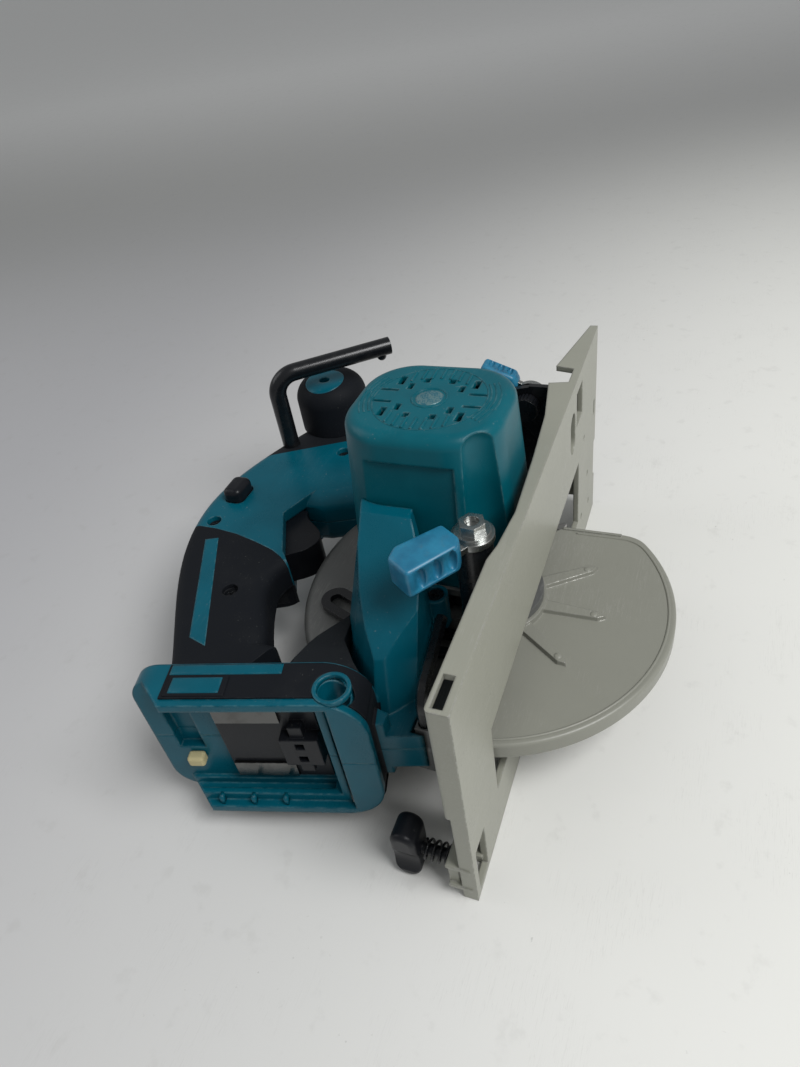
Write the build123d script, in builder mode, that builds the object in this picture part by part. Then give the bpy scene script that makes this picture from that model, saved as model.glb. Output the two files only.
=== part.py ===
from build123d import *
import os
from math import atan2, cos, degrees, hypot, pi, radians, sin, sqrt

os.makedirs("parts", exist_ok=True)

# Frame: origin on the blade arbor at the blade's middle plane, X forward, Y away from the sole,
# Z towards the motor. The saw lies on its blade side, so Z is up.

# Clearances
fit = 0.05
gap = 0.5
press = 0.02
screw_radius = 2.0
screw_hole = 2.1

# Blade, flanges and arbor
blade_fitted = 150.0
blade_largest = 165.0
blade_plate = 1.4
blade_kerf = 2.0
blade_teeth = 40
tooth_height = 4.0
arbor_radius = 10.0
spindle_radius = 6.0
flange_radius = 15.0
flange_thick = 4.5
bolt_radius = 4.0

# Lower guard
guard_wall = 2.0
guard_room = 5.0
guard_radius = blade_largest / 2 + guard_room + guard_wall
guard_low = -4.0
guard_high = 5.5
guard_edge_x = 61.5
guard_corner = 20.0
guard_hub_radius = 19.0
guard_collar_radius = 27.5
guard_collar_high = 9.0
guard_rib_reach = 54.0
guard_rib_root = 4.2
guard_rib_tip = 2.7
guard_rib_point = 4.0
guard_rib_angles = (-56.5, -92.5, -129.0)

# Blade case
case_room = 6.0
case_wall = 3.0
case_radius = guard_radius + case_room + case_wall
case_low = -13.5
case_high = 14.0
case_foot = -14.0
case_open = 20.0

# Gears and motor
gear_module = 0.85
pinion_teeth = 9
gear_teeth = 45
gear_centres = gear_module * (pinion_teeth + gear_teeth) / 2 + 0.7
motor_angle = 77.3
motor_x = gear_centres * cos(radians(motor_angle))
motor_y = gear_centres * sin(radians(motor_angle))
gear_low = 20.0
gear_wide = 10.0
chamber_radius = 23.0
chamber_high = 36.0
motor_shaft_radius = 4.0
stator_radius = 28.0
rotor_radius = 14.0

# Motor cover
cover_low = 40.0
cover_high = 119.0
cover_long_low = 74.0
cover_long_high = 64.0
cover_wide_low = 81.0
cover_wide_high = 72.0
cover_corner = 24.0
cover_round = 6.0
cover_wall = 2.8

# Base
sole_y = -26.5
base_rear = -131.0
base_front = 146.5
base_left = -43.0
base_right = 86.4
sheet = 3.0
slot_rear = -94.0
slot_front = 92.0
slot_left = -14.6
slot_right = 29.4
bevel_y = -16.0
bevel_most = 50.0
hinge_pin_radius = 3.0
hinge_ear_radius = 6.0

# Depth setting
pivot_x = 124.0
pivot_y = 5.0
pivot_radius = 4.0
depth_most = 26.5
guide_low = 16.0
guide_thick = 3.0
guide_width = 16.0
depth_bolt_x = -45.0
depth_bolt_y = -9.0
depth_bolt_radius = 3.0
depth_lever_low = 86.0
depth_lever_angle = 146.0
nut_flange_radius = 7.6
nut_flange_thick = 1.6
nut_flats = 10.0
nut_high = 5.8
bolt_in_nut = 3.0

# Bevel lock
quadrant_x = 81.0
bevel_bolt_y = -1.0
bevel_bolt_z = 72.0
bevel_bolt_radius = 3.0

# Handle
handle_mid = 12.0
handle_half = 17.5
handle_round = 7.0
foot_round = 10.0
rubber_thick = 2.5
seat_radius = case_radius + gap
front_grip_x = 115.0
front_grip_y = 137.0
front_grip_radius = 22.5
front_grip_high = 62.0
grip_cap_radius = 12.5
grip_cap_back = 5.0
hook_x = 83.0
hook_y = 155.5
hook_radius = 5.3
hook_arm_z = 77.5

# Battery holder
holder_tilt = 15.0
holder_x = -123.3
holder_y = 63.0
holder_width = 80.0
holder_top = 60.0
rail_top = 52.0
rail_top_rear = 40.0
holder_top_corner = 14.0
holder_low = -45.0
holder_deep = 22.0
holder_corner = 20.0
rail_opening = 62.0
rail_space = 70.0
pocket_deep = 14.0
latch_side = (-9.0, 27.0)
latch_up = (38.0, 50.5)
latch_deep = 4.5

# Thumb screw of the guide rule
thumb_x = -122.5
thumb_z = -27.0
thumb_long = 31.5
thumb_wide = 14.0
thumb_screw_radius = 2.5

# Hex key for the blade bolt
key_flats = 5.0
key_z = 40.0
key_front = (-50.0, 8.0, key_z)
key_rear = (-94.0, 2.5, key_z)
key_bend = 8.0
clip_half = 3.6
clip_high = 9.0

LOW = (Align.CENTER, Align.CENTER, Align.MIN)


def save(piece, label):
    """Name a finished piece and write its file."""
    piece.part.label = label
    export_step(piece.part, f"parts/{label}.step")


def rod(radius, low, high, x=0.0, y=0.0, mode=Mode.ADD):
    """A round bar along Z between two heights."""
    with Locations((x, y, low)):
        Cylinder(radius, high - low, align=LOW, mode=mode)


def block(x_range, y_range, z_range, mode=Mode.ADD):
    """A box between pairs of coordinates."""
    middle = [(a + b) / 2 for a, b in (x_range, y_range, z_range)]
    size = [b - a for a, b in (x_range, y_range, z_range)]
    with Locations(tuple(middle)):
        Box(*size, mode=mode)


def prism(points, low, high, mode=Mode.ADD):
    """A straight-sided block along Z over a polygon."""
    with BuildSketch(Plane.XY.offset(low), mode=Mode.PRIVATE) as face:
        with BuildLine():
            Polyline(*points, close=True)
        make_face()
    extrude(face.sketch, amount=high - low, mode=mode)


def bar(radius, start, end, mode=Mode.ADD):
    """A round bar between two points."""
    along = Vector(*end) - Vector(*start)
    with BuildSketch(Plane(origin=start, z_dir=along), mode=Mode.PRIVATE) as face:
        Circle(radius)
    extrude(face.sketch, amount=along.length, mode=mode)


def polar(radius, angle, x=0.0, y=0.0):
    """A point at a distance and an angle from a centre."""
    return (x + radius * cos(radians(angle)), y + radius * sin(radians(angle)))


# Blade
with BuildPart() as blade:
    blade_radius = blade_fitted / 2
    with BuildSketch(Plane.XY.offset(-blade_plate / 2)):
        Circle(blade_radius - tooth_height)
        Circle(arbor_radius + fit, mode=Mode.SUBTRACT)
        with PolarLocations(0.62 * blade_radius, 4):
            Circle(3, mode=Mode.SUBTRACT)
    extrude(amount=blade_plate)
    with BuildSketch(Plane.XY.offset(-blade_kerf / 2)):
        with PolarLocations(blade_radius - tooth_height, blade_teeth):
            Polygon(
                (-3, -1), (-3, 3.5), (0.3, 3.5), (tooth_height, 0.6), (tooth_height - 0.6, -1),
                align=None,
            )
    extrude(amount=blade_kerf)
save(blade, "blade")

# Inner flange, with the pilot that centres the blade
flange_high = blade_plate / 2 + flange_thick
with BuildPart() as inner_flange:
    rod(flange_radius, blade_plate / 2, flange_high)
    rod(arbor_radius, -blade_plate / 2 + 0.3, blade_plate / 2)
    rod(spindle_radius + fit, -blade_plate / 2, flange_high, mode=Mode.SUBTRACT)
save(inner_flange, "inner_flange")

# Outer flange
flange_low = -blade_plate / 2 - 4.0
with BuildPart() as outer_flange:
    rod(flange_radius, flange_low, -blade_plate / 2)
    rod(bolt_radius + fit, flange_low, 0, mode=Mode.SUBTRACT)
    chamfer(outer_flange.faces().sort_by(Axis.Z)[0].outer_wire().edges(), 1.2)
save(outer_flange, "outer_flange")

# Blade bolt
bolt_head_low = flange_low - 6.0
with BuildPart() as blade_bolt:
    rod(9, flange_low - 1.6, flange_low)
    with BuildSketch(Plane.XY.offset(bolt_head_low)):
        RegularPolygon(7.5, 6)
        RegularPolygon(2.9, 6, mode=Mode.SUBTRACT)
    extrude(amount=4.6)
    rod(bolt_radius, flange_low, 14)
save(blade_bolt, "blade_bolt")

# Spindle
spindle_high = chamber_high + 2.5
with BuildPart() as spindle:
    rod(spindle_radius, -blade_plate / 2 + 0.3, gear_low + gear_wide)
    rod(spindle_radius + 1.5, 17.4, gear_low)
    rod(4, gear_low + gear_wide, spindle_high)
    rod(bolt_radius + fit, -blade_plate, 15, mode=Mode.SUBTRACT)
save(spindle, "spindle")


def toothed_wheel(teeth, turn):
    """A flat wheel with plain tapered teeth, as a sketch."""
    pitch = gear_module * teeth / 2
    half = radians(180 / teeth) * pitch
    with BuildSketch(Plane.XY, mode=Mode.PRIVATE) as wheel:
        Circle(pitch - 0.95 * gear_module)
        with PolarLocations(pitch, teeth, start_angle=turn):
            Polygon(
                (-1.2 * gear_module, -0.55 * half),
                (0.75 * gear_module, -0.24 * half),
                (0.75 * gear_module, 0.24 * half),
                (-1.2 * gear_module, 0.55 * half),
                align=None,
            )
    return wheel.sketch


# Spindle gear, a tooth gap facing the pinion
with BuildPart() as spindle_gear:
    wheel_face = toothed_wheel(gear_teeth, motor_angle + 180 / gear_teeth)
    extrude(Plane.XY.offset(gear_low) * wheel_face, amount=gear_wide)
    rod(spindle_radius + fit, gear_low, gear_low + gear_wide, mode=Mode.SUBTRACT)
save(spindle_gear, "spindle_gear")

# Rotor shaft with its pinion
shaft_high = cover_high - 5.0
with BuildPart() as rotor_shaft:
    wheel_face = toothed_wheel(pinion_teeth, motor_angle + 180)
    extrude(Plane((motor_x, motor_y, gear_low - 1)) * wheel_face, amount=gear_wide + 2)
    rod(motor_shaft_radius, gear_low + gear_wide + 1, shaft_high, motor_x, motor_y)
save(rotor_shaft, "rotor_shaft")

# Rotor core
stator_low = 58.0
stator_high = 92.0
with BuildPart() as rotor_core:
    rod(rotor_radius, stator_low + 1, stator_high - 1, motor_x, motor_y)
    rod(motor_shaft_radius + press, stator_low, stator_high, motor_x, motor_y, Mode.SUBTRACT)
save(rotor_core, "rotor_core")

# Cooling fan
fan_low = 44.5
fan_high = 53.0
fan_radius = 30.0
with BuildPart() as fan:
    rod(fan_radius, fan_low, fan_low + 1.5, motor_x, motor_y)
    rod(9, fan_low, fan_high, motor_x, motor_y)
    with Locations((motor_x, motor_y, fan_low + 1)):
        with PolarLocations(0, 15):
            with Locations((20, 0, 0)):
                Box(20, 1.2, fan_high - fan_low - 1, rotation=(0, 0, 24), align=LOW)
    rod(motor_shaft_radius + press, fan_low, fan_high, motor_x, motor_y, Mode.SUBTRACT)
save(fan, "fan")

# Stator with its slots and windings in one ring
with BuildPart() as stator:
    rod(stator_radius, stator_low, stator_high, motor_x, motor_y)
    rod(stator_radius - 4, stator_low - 2.5, stator_high + 2.5, motor_x, motor_y)
    rod(rotor_radius + 0.6, stator_low - 3, stator_high + 3, motor_x, motor_y, Mode.SUBTRACT)
    with Locations((motor_x, motor_y, stator_low - 3)):
        with PolarLocations(rotor_radius + 4, 6):
            Box(9, 2.2, stator_high - stator_low + 6, align=LOW, mode=Mode.SUBTRACT)
save(stator, "stator")


def bearing(outer, inner, low, high, x=0.0, y=0.0):
    """A shielded ball bearing as one ring with grooved shields."""
    rod(outer, low, high, x, y)
    groove = (outer + inner) / 2
    for level in (low, high - 0.5):
        with Locations((x, y, level)):
            Cylinder(groove + 1.2, 0.5, align=LOW, mode=Mode.SUBTRACT)
            Cylinder(groove - 1.2, 0.5, align=LOW)
    rod(inner, low - 1, high + 1, x, y, Mode.SUBTRACT)


main_bearing_radius = 16.0
end_bearing_radius = 9.5
motor_bearing_radius = 11.0
with BuildPart() as main_bearing:
    bearing(main_bearing_radius, spindle_radius + fit, 6.5, 16.5)
save(main_bearing, "main_bearing")
with BuildPart() as end_bearing:
    bearing(end_bearing_radius, 4 + fit, chamber_high - 2.5, chamber_high + 2.5)
save(end_bearing, "end_bearing")
motor_bearing_low = chamber_high - 3.0
cap_bearing_low = shaft_high - 8.0
with BuildPart() as motor_bearings:
    for low in (motor_bearing_low, cap_bearing_low):
        bearing(motor_bearing_radius, motor_shaft_radius + fit, low, low + 7, motor_x, motor_y)
save(motor_bearings, "motor_bearings")

# Bearing box: carries the spindle bearing and the guard's turning boss
box_radius = 26.0
ear_radius = 38.0
ear_foot = -8.0
box_low = 9.6
boss_low = 2.4
box_screw_radius = 33.0
box_screw_angles = (15, 62, 118, 165)


def box_plate(grow, low, high, mode=Mode.ADD):
    """The bearing box's flange: a disc with a wider upper part for the screws."""
    with BuildSketch(Plane.XY.offset(low), mode=Mode.PRIVATE) as face:
        Circle(ear_radius + grow)
        with Locations((0, ear_foot - grow - ear_radius)):
            Rectangle(4 * ear_radius, 2 * ear_radius, mode=Mode.SUBTRACT)
        Circle(box_radius + grow)
    extrude(face.sketch, amount=high - low, mode=mode)


with BuildPart() as bearing_box:
    box_plate(0, box_low, case_high)
    rod(guard_hub_radius - fit, boss_low, box_low)
    rod(main_bearing_radius + 3, case_high, 17.0)
    rod(flange_radius + gap, boss_low, 8, mode=Mode.SUBTRACT)
    rod(main_bearing_radius + fit, 6.5, 17.0, mode=Mode.SUBTRACT)
    with BuildSketch(Plane.XY.offset(boss_low + 0.4)):
        Circle(guard_hub_radius + 1)
        Circle(guard_hub_radius - 1.2, mode=Mode.SUBTRACT)
    extrude(amount=0.8, mode=Mode.SUBTRACT)
    for angle in box_screw_angles:
        rod(screw_hole, 0, case_high, *polar(box_screw_radius, angle), Mode.SUBTRACT)
save(bearing_box, "bearing_box")

# Snap ring that keeps the guard on its boss
with BuildPart() as guard_ring:
    with BuildSketch(Plane.XY.offset(boss_low + 0.5)):
        Circle(guard_hub_radius + 2)
        Circle(guard_hub_radius - 1.1, mode=Mode.SUBTRACT)
        with Locations((guard_hub_radius, 0)):
            Rectangle(8, 4, mode=Mode.SUBTRACT)
    extrude(amount=0.6)
save(guard_ring, "guard_ring")

# Screws of the bearing box
with BuildPart() as box_screws:
    for angle in box_screw_angles:
        x, y = polar(box_screw_radius, angle)
        rod(3.4, box_low - 0.4, box_low, x, y)
        rod(screw_radius, box_low, 24, x, y)
save(box_screws, "box_screws")


def cover_section(level, grow=0.0):
    """The motor cover's rounded outline at one height."""
    rise = max(0, level - cover_low) / (cover_high - cover_low)
    long = cover_long_low + rise * (cover_long_high - cover_long_low) + 2 * grow
    wide = cover_wide_low + rise * (cover_wide_high - cover_wide_low) + 2 * grow
    with BuildSketch(Plane((motor_x, motor_y, level)), mode=Mode.PRIVATE) as section:
        RectangleRounded(long, wide, cover_corner + grow)
    return section.sketch


# Blade case with the gear chamber cast on it
with BuildPart() as blade_case:
    rod(case_radius, case_low, case_high)
    fillet(blade_case.edges().filter_by(GeomType.CIRCLE), 5)
    rod(10, -4.5, 9.5, pivot_x, pivot_y)
    block((case_radius - 18.5, pivot_x), (pivot_y - 10, pivot_y + 10), (-4.5, 9.5))
    rod(ear_radius + case_wall, case_high - case_wall, case_high + 1.5)
    rod(case_radius - case_wall, case_low + case_wall, case_high - case_wall, mode=Mode.SUBTRACT)
    block((-200, 105), (-200, case_foot), (-50, 50), Mode.SUBTRACT)
    block((-200, 200), (-200, case_open), (-50, -5), Mode.SUBTRACT)
    rod(chamber_radius, case_high - case_wall, chamber_high)
    rod(22, case_high - case_wall, chamber_high, motor_x, motor_y)
    for angle in box_screw_angles:
        rod(4.6, case_high - case_wall, 25, *polar(box_screw_radius, angle))
    extrude(cover_section(chamber_high), amount=cover_low - chamber_high)
    rod(9, case_high - 1, guide_low - 0.6, depth_bolt_x, depth_bolt_y)
    clip_x = (key_rear[0] - clip_half, key_rear[0] + clip_half)
    clip_y = (key_rear[1] - clip_half, key_rear[1] + clip_half)
    block(clip_x, clip_y, (case_high - 2, case_high + clip_high))
    rod(key_flats / sqrt(3) + fit, case_high, 60, key_rear[0], key_rear[1], Mode.SUBTRACT)
    box_plate(0.3, 0, case_high, Mode.SUBTRACT)
    rod(gear_module * gear_teeth / 2 + 1.4, case_high - 1, chamber_high - 4, mode=Mode.SUBTRACT)
    rod(9, case_high - 1, chamber_high - 4, motor_x, motor_y, Mode.SUBTRACT)
    rod(end_bearing_radius + fit, chamber_high - 5, chamber_high + 3, mode=Mode.SUBTRACT)
    rod(7, chamber_high - 5, cover_low + 1, motor_x, motor_y, Mode.SUBTRACT)
    rod(motor_bearing_radius + fit, motor_bearing_low, cover_low + 1, motor_x, motor_y, Mode.SUBTRACT)
    rod(depth_bolt_radius + press, 0, guide_low, depth_bolt_x, depth_bolt_y, Mode.SUBTRACT)
    bar(2.5 + fit, (0, 0, gear_low + 5), (*polar(60, -20), gear_low + 5), Mode.SUBTRACT)
    rod(pivot_radius + fit, -20, 20, pivot_x, pivot_y, Mode.SUBTRACT)
    for angle in box_screw_angles:
        x, y = polar(box_screw_radius, angle)
        rod(screw_hole, case_high - case_wall, 24.2, x, y, Mode.SUBTRACT)
save(blade_case, "blade_case")

# Lower guard, closed as in the rest pose
with BuildPart() as lower_guard:
    rod(guard_radius, guard_low, guard_high)
    fillet(lower_guard.edges().filter_by(GeomType.CIRCLE), 1.6)
    rod(guard_radius - guard_wall, guard_low + guard_wall, guard_high - guard_wall, mode=Mode.SUBTRACT)
    rod(70, guard_low - 1, 0, mode=Mode.SUBTRACT)
    far = guard_radius + 20
    prism(
        [(guard_edge_x, -far), (guard_edge_x, -24), (26, 12), (5, 27), (-18, 24), (-far, 45)]
        + [(-far, far), (far, far), (far, -far)],
        guard_low - 1,
        guard_high + 1,
        Mode.SUBTRACT,
    )
    corner_x = guard_edge_x - guard_corner
    corner_y = -sqrt((guard_radius - guard_corner) ** 2 - corner_x**2)
    corner_angle = degrees(atan2(corner_y, corner_x))
    with BuildSketch(Plane.XY.offset(guard_low - 1)):
        with BuildLine():
            bend = CenterArc((corner_x, corner_y), guard_corner, corner_angle, -corner_angle)
            Polyline(bend @ 1, (far, corner_y), (far, -far), polar(far, corner_angle), bend @ 0)
        make_face()
    extrude(amount=guard_high - guard_low + 2, mode=Mode.SUBTRACT)
    block((guard_edge_x - 1.6, guard_edge_x), (corner_y, -24), (guard_high - 1, guard_high + 0.7))
    for angle in guard_rib_angles:
        with BuildSketch(Plane.XY.offset(guard_high - 1)):
            with Locations(Rotation(0, 0, angle)):
                Polygon(
                    (guard_collar_radius - 3, -guard_rib_root),
                    (guard_rib_reach, -guard_rib_tip),
                    (guard_rib_reach + guard_rib_point, 0),
                    (guard_rib_reach, guard_rib_tip),
                    (guard_collar_radius - 3, guard_rib_root),
                    align=None,
                )
        extrude(amount=3.2, taper=12)
    rod(guard_collar_radius, guard_high - guard_wall, guard_collar_high)
    rod(guard_hub_radius, guard_low, guard_collar_high + 1, mode=Mode.SUBTRACT)
save(lower_guard, "lower_guard")

# Finger lever of the lower guard, on the blade side
with BuildPart() as guard_lever:
    prism([polar(74, -46), polar(86, -46), polar(86, -38), polar(74, -38)], guard_low - 5, guard_low)
    fillet(guard_lever.edges().filter_by(Axis.Z), 2)
save(guard_lever, "guard_lever")

# Rubber stop that the closed guard rests on
with BuildPart() as guard_stop:
    block((46, 54), (-6, 2), (blade_kerf + 0.5, case_high - case_wall))
    fillet(guard_stop.edges().filter_by(Axis.Z), 2)
save(guard_stop, "guard_stop")

# Motor cover
flute_x = motor_x - cover_long_low / 2 + 6.8
flute_y = motor_y - cover_wide_low / 2 + 6.4
flute_radius = 11.0
flute_high = 113.0
recess_deep = 1.8
recess_high = 105.0
recess_y = (motor_y - 19.5, motor_y + 24)
with BuildPart() as motor_cover:
    loft([cover_section(cover_low), cover_section(cover_high)])
    fillet(motor_cover.faces().sort_by(Axis.Z)[-1].edges(), cover_round)
    rod(flute_radius, 0, flute_high, flute_x, flute_y, Mode.SUBTRACT)
    with Locations((flute_x, flute_y, flute_high)):
        Sphere(flute_radius, mode=Mode.SUBTRACT)
    recess_x = motor_x - cover_long_low / 2 + recess_deep
    lean = (cover_long_low - cover_long_high) / 2 / (cover_high - cover_low)
    with BuildSketch(Plane.XZ.offset(-recess_y[0])):
        with BuildLine():
            Polyline(
                (recess_x, cover_low), (recess_x + lean * (recess_high - cover_low), recess_high),
                (recess_x - 2 * recess_deep, recess_high + 2 * recess_deep),
                (recess_x - 5 * recess_deep, cover_low), close=True,
            )
        make_face()
    extrude(amount=recess_y[0] - recess_y[1], mode=Mode.SUBTRACT)
    rod(fan_radius + 1, cover_low, fan_high + 2, motor_x, motor_y, Mode.SUBTRACT)
    rod(stator_radius + 0.3, cover_low, cover_high - cover_wall, motor_x, motor_y, Mode.SUBTRACT)
    rod(motor_bearing_radius + 3, cap_bearing_low, cover_high - 1, motor_x, motor_y)
    rod(motor_bearing_radius + fit, cap_bearing_low - 1, shaft_high + 0.4, motor_x, motor_y, Mode.SUBTRACT)
    with BuildSketch(Plane((motor_x, motor_y, cover_high))):
        with GridLocations(10, 41.6, 2, 2):
            Rectangle(1.6, 8.5)
        with GridLocations(26.8, 35.4, 2, 2):
            Rectangle(7, 3)
        with GridLocations(17.8, 24, 2, 2):
            Rectangle(5, 2.6)
        with GridLocations(29.4, 12, 2, 2):
            Rectangle(3.6, 3)
    extrude(amount=-cover_wall - 1, mode=Mode.SUBTRACT)
save(motor_cover, "motor_cover")


def handle_outline():
    """The handle's side outline: grip, front bar and the feet that sit on the blade case."""
    with BuildSketch(Plane.XY.offset(handle_mid), mode=Mode.PRIVATE) as face:
        with BuildLine():
            ridge = Spline(
                (-122, 117), (-84.7, 137.3), (-4.6, 177), (20, 180), (60, 172.5), (108, 152)
            )
            nose = ThreePointArc(ridge @ 1, (134, 136), (121, 114))
            Line(nose @ 1, polar(seat_radius, 42))
            CenterArc((0, 0), seat_radius, 42, 24)
            Polyline(polar(seat_radius, 66), (32, 110), (31, 121), (17, 127), (-13, 112), (-20, 105.5))
            Spline((-20, 105.5), (-33, 109), (-53.4, 101), (-72.6, 91.3))
            Line((-72.6, 91.3), polar(seat_radius, 138))
            CenterArc((0, 0), seat_radius, 138, 41)
            Polyline(polar(seat_radius, 179), (-104.5, 20), (-112, 40), (-130, 108), (-122, 117))
        make_face()
    return face.sketch


grip_zone = [
    (-3.5, 200), (-4, 160), (-6, 145), (-10, 130), (-14, 118), (-21, 105), (-76, 84),
    (-112, 100), (-122, 117), (-125, 140), (-60, 200),
]
grip_core = [
    (12, 176.5), (-6, 173.5), (-83, 133.5), (-119, 113), (-108, 101), (-73, 95),
    (-52, 105), (-33, 113.5), (-20, 111), (-8, 121), (12, 135),
]
holder_plane = Plane(
    origin=(holder_x, holder_y, handle_mid),
    x_dir=(0, 0, 1),
    z_dir=(-cos(radians(holder_tilt)), -sin(radians(holder_tilt)), 0),
)
band_top = 40.0
bevel_start = (-22.0, 113.3)
bevel_end = (-80.0, 88.1)
grip_slant = 10.0
foot_gap_x = (-92.0, -60.0)
foot_gap_y = (62.6, 93.0)


def round_handle(half, side):
    """Round a handle half's outer edges: under the grip, along the ridge and round the front foot."""
    under_grip = [(-47, 104), (-73, 79)]
    ridge = [(-11, 175)]
    front_foot = [(36, 100), (31.5, 115.5)]
    for spots, radius in ((under_grip, handle_round), (ridge, handle_round), (front_foot, foot_round)):
        outer = half.faces().sort_by(Axis.Z)[-1 if side > 0 else 0]
        level = outer.center().Z
        fillet([outer.edges().sort_by_distance((*spot, level))[0] for spot in spots], radius)


def grip_bevel():
    """Slant the left half's inner edge, where the fingers close round the grip."""
    way = Vector(bevel_end) - Vector(bevel_start)
    inward = (way.Y, -way.X, 0)
    with BuildSketch(Plane((*bevel_start, handle_mid), x_dir=inward, z_dir=way), mode=Mode.PRIVATE) as face:
        with BuildLine():
            Polyline((-8, 1), (0.5, 1), (grip_slant, handle_half + 1), (-8, handle_half + 1), close=True)
        make_face()
    extrude(face.sketch, amount=way.length, mode=Mode.SUBTRACT)


def holder_outline(grow=0.0):
    """The battery holder's rear outline: square at the open end, round at the other."""
    with BuildSketch(mode=Mode.PRIVATE) as face:
        with Locations((0, (holder_top + holder_low) / 2)):
            Rectangle(holder_width, holder_top - holder_low)
        fillet(face.vertices().sort_by(Axis.Y)[-2:], holder_top_corner)
        fillet(face.vertices().sort_by(Axis.Y)[:2], holder_corner)
        if grow:
            offset(amount=grow)
    return face.sketch


def holder_block(u_range, w_range, depth_range, mode=Mode.ADD):
    """A box by width, by height along the slide and by depth from the holder's rear plane."""
    with BuildSketch(holder_plane.offset(-depth_range[0]), mode=Mode.PRIVATE) as face:
        with Locations((sum(u_range) / 2, sum(w_range) / 2)):
            Rectangle(u_range[1] - u_range[0], w_range[1] - w_range[0])
    extrude(face.sketch, amount=depth_range[0] - depth_range[1], mode=mode)


def holder_spot(height, depth):
    """A point of the holder in plan, by height along the slide and depth from the rear plane."""
    spot = holder_plane.from_local_coords((0, height, -depth))
    return (spot.X, spot.Y)


def holder_end_cut():
    """Slant the rails' open ends and leave the deck as a tongue."""
    slope = (rail_top - rail_top_rear) / pocket_deep
    prism(
        [holder_spot(rail_top_rear - slope, -1), holder_spot(rail_top, pocket_deep),
         holder_spot(2 * holder_top, pocket_deep), holder_spot(2 * holder_top, -1)],
        handle_mid - holder_width,
        handle_mid + holder_width,
        Mode.SUBTRACT,
    )


def holder_pocket(width, low, depth_from, depth_to):
    """Cut a pocket that is open at the holder's upper end."""
    holder_block((-width / 2, width / 2), (low, holder_top + 5), (depth_from, depth_to), Mode.SUBTRACT)


def band_ring():
    """The rubber band round the holder, as a sketch on the holder's plane."""
    with BuildSketch(mode=Mode.PRIVATE) as face:
        add(holder_outline(0.8))
        add(holder_outline(-1.6), mode=Mode.SUBTRACT)
        with Locations((0, band_top + 40)):
            Rectangle(holder_width + 10, 80, mode=Mode.SUBTRACT)
        Rectangle(52, 4 * holder_top, mode=Mode.SUBTRACT)
    return face.sketch


band_from = 3.5
band_to = 21.0
ring_x = -107.0
ring_y = 34.0
eye_top = handle_mid + holder_width / 2
screw_spots = [(2, 165), (-47, 125), (80, 117)]
trigger_z = (2.0, 22.0)
switch_z = (trigger_z[0] - 0.3, trigger_z[1] + 0.3)
lock_x = 28.0
lock_y = 163.0
lock_half = 25.5


def lock_bar(grow, half, mode=Mode.ADD):
    """The lock-off bar's round-cornered section, through the handle."""
    with BuildSketch(Plane((lock_x, lock_y, handle_mid - half)), mode=Mode.PRIVATE) as face:
        RectangleRounded(17 + 2 * grow, 12 + 2 * grow, 4 + grow)
    extrude(face.sketch, amount=2 * half, mode=mode)


tail_low = -1.0
tail_high = 21.0
inlay_outline = [(-14, 161), (-11, 154), (-84, 117), (-81, 128)]
inlay_deep = 1.0
web_high = 84.0
web_low_outline = [
    (-8, 66), (-30, 62), (-50, 58), (-70, 48), (-85, 36), (-94, 26), (-93, 19.5), (-82, 11),
    (-60, 10.5), (-42, 13), (-25, 17),
]
web_high_outline = [
    (-10, 53), (-30, 48), (-46, 42), (-58, 35), (-65, 30), (-68, 27), (-68, 25), (-56, 11),
    (-44, 17), (-34, 22.5), (-22, 25),
]
web_slope = [(20, web_high), (-36, web_high), (-76, 52), (-100, 30), (-140, 30)]
web_screw = (-40.0, 14.0)
web_boss_high = 44.0
tail_plate = [(-103.5, 19), (-100.8, 8), (-84.5, 8), (-80, 12), (-80, 24), (-94, 26)]
neck_outline = [
    (-40, 55), (-53, 57.5), (-71, 61), (-90, 62), (-104, 62), (-95, 26), (-85, 36), (-70, 48), (-50, 54),
]
neck_high = 46.0
neck_slope = [(0, 22), (-37, 24), (-78, 40), (-100, neck_high), (-140, neck_high)]


def slope_cut(line):
    """Cut away everything above a line drawn in the side plane."""
    with BuildSketch(Plane.XZ, mode=Mode.PRIVATE) as slope:
        with BuildLine():
            Polyline(*line, (line[-1][0], 200), (line[0][0], 200), close=True)
        make_face()
    extrude(slope.sketch, amount=200, both=True, mode=Mode.SUBTRACT)


def plan_section(points, level):
    """A polygon at one height, as a sketch."""
    with BuildSketch(Plane.XY.offset(level), mode=Mode.PRIVATE) as face:
        with BuildLine():
            Polyline(*points, close=True)
        make_face()
    return face.sketch


def cover_room():
    """Cut the motor cover's space with its clearance."""
    extrude(cover_section(guide_low, 0.4), amount=cover_low - guide_low, mode=Mode.SUBTRACT)
    loft([cover_section(cover_low, 0.4), cover_section(cover_high, 0.4)], mode=Mode.SUBTRACT)


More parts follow.
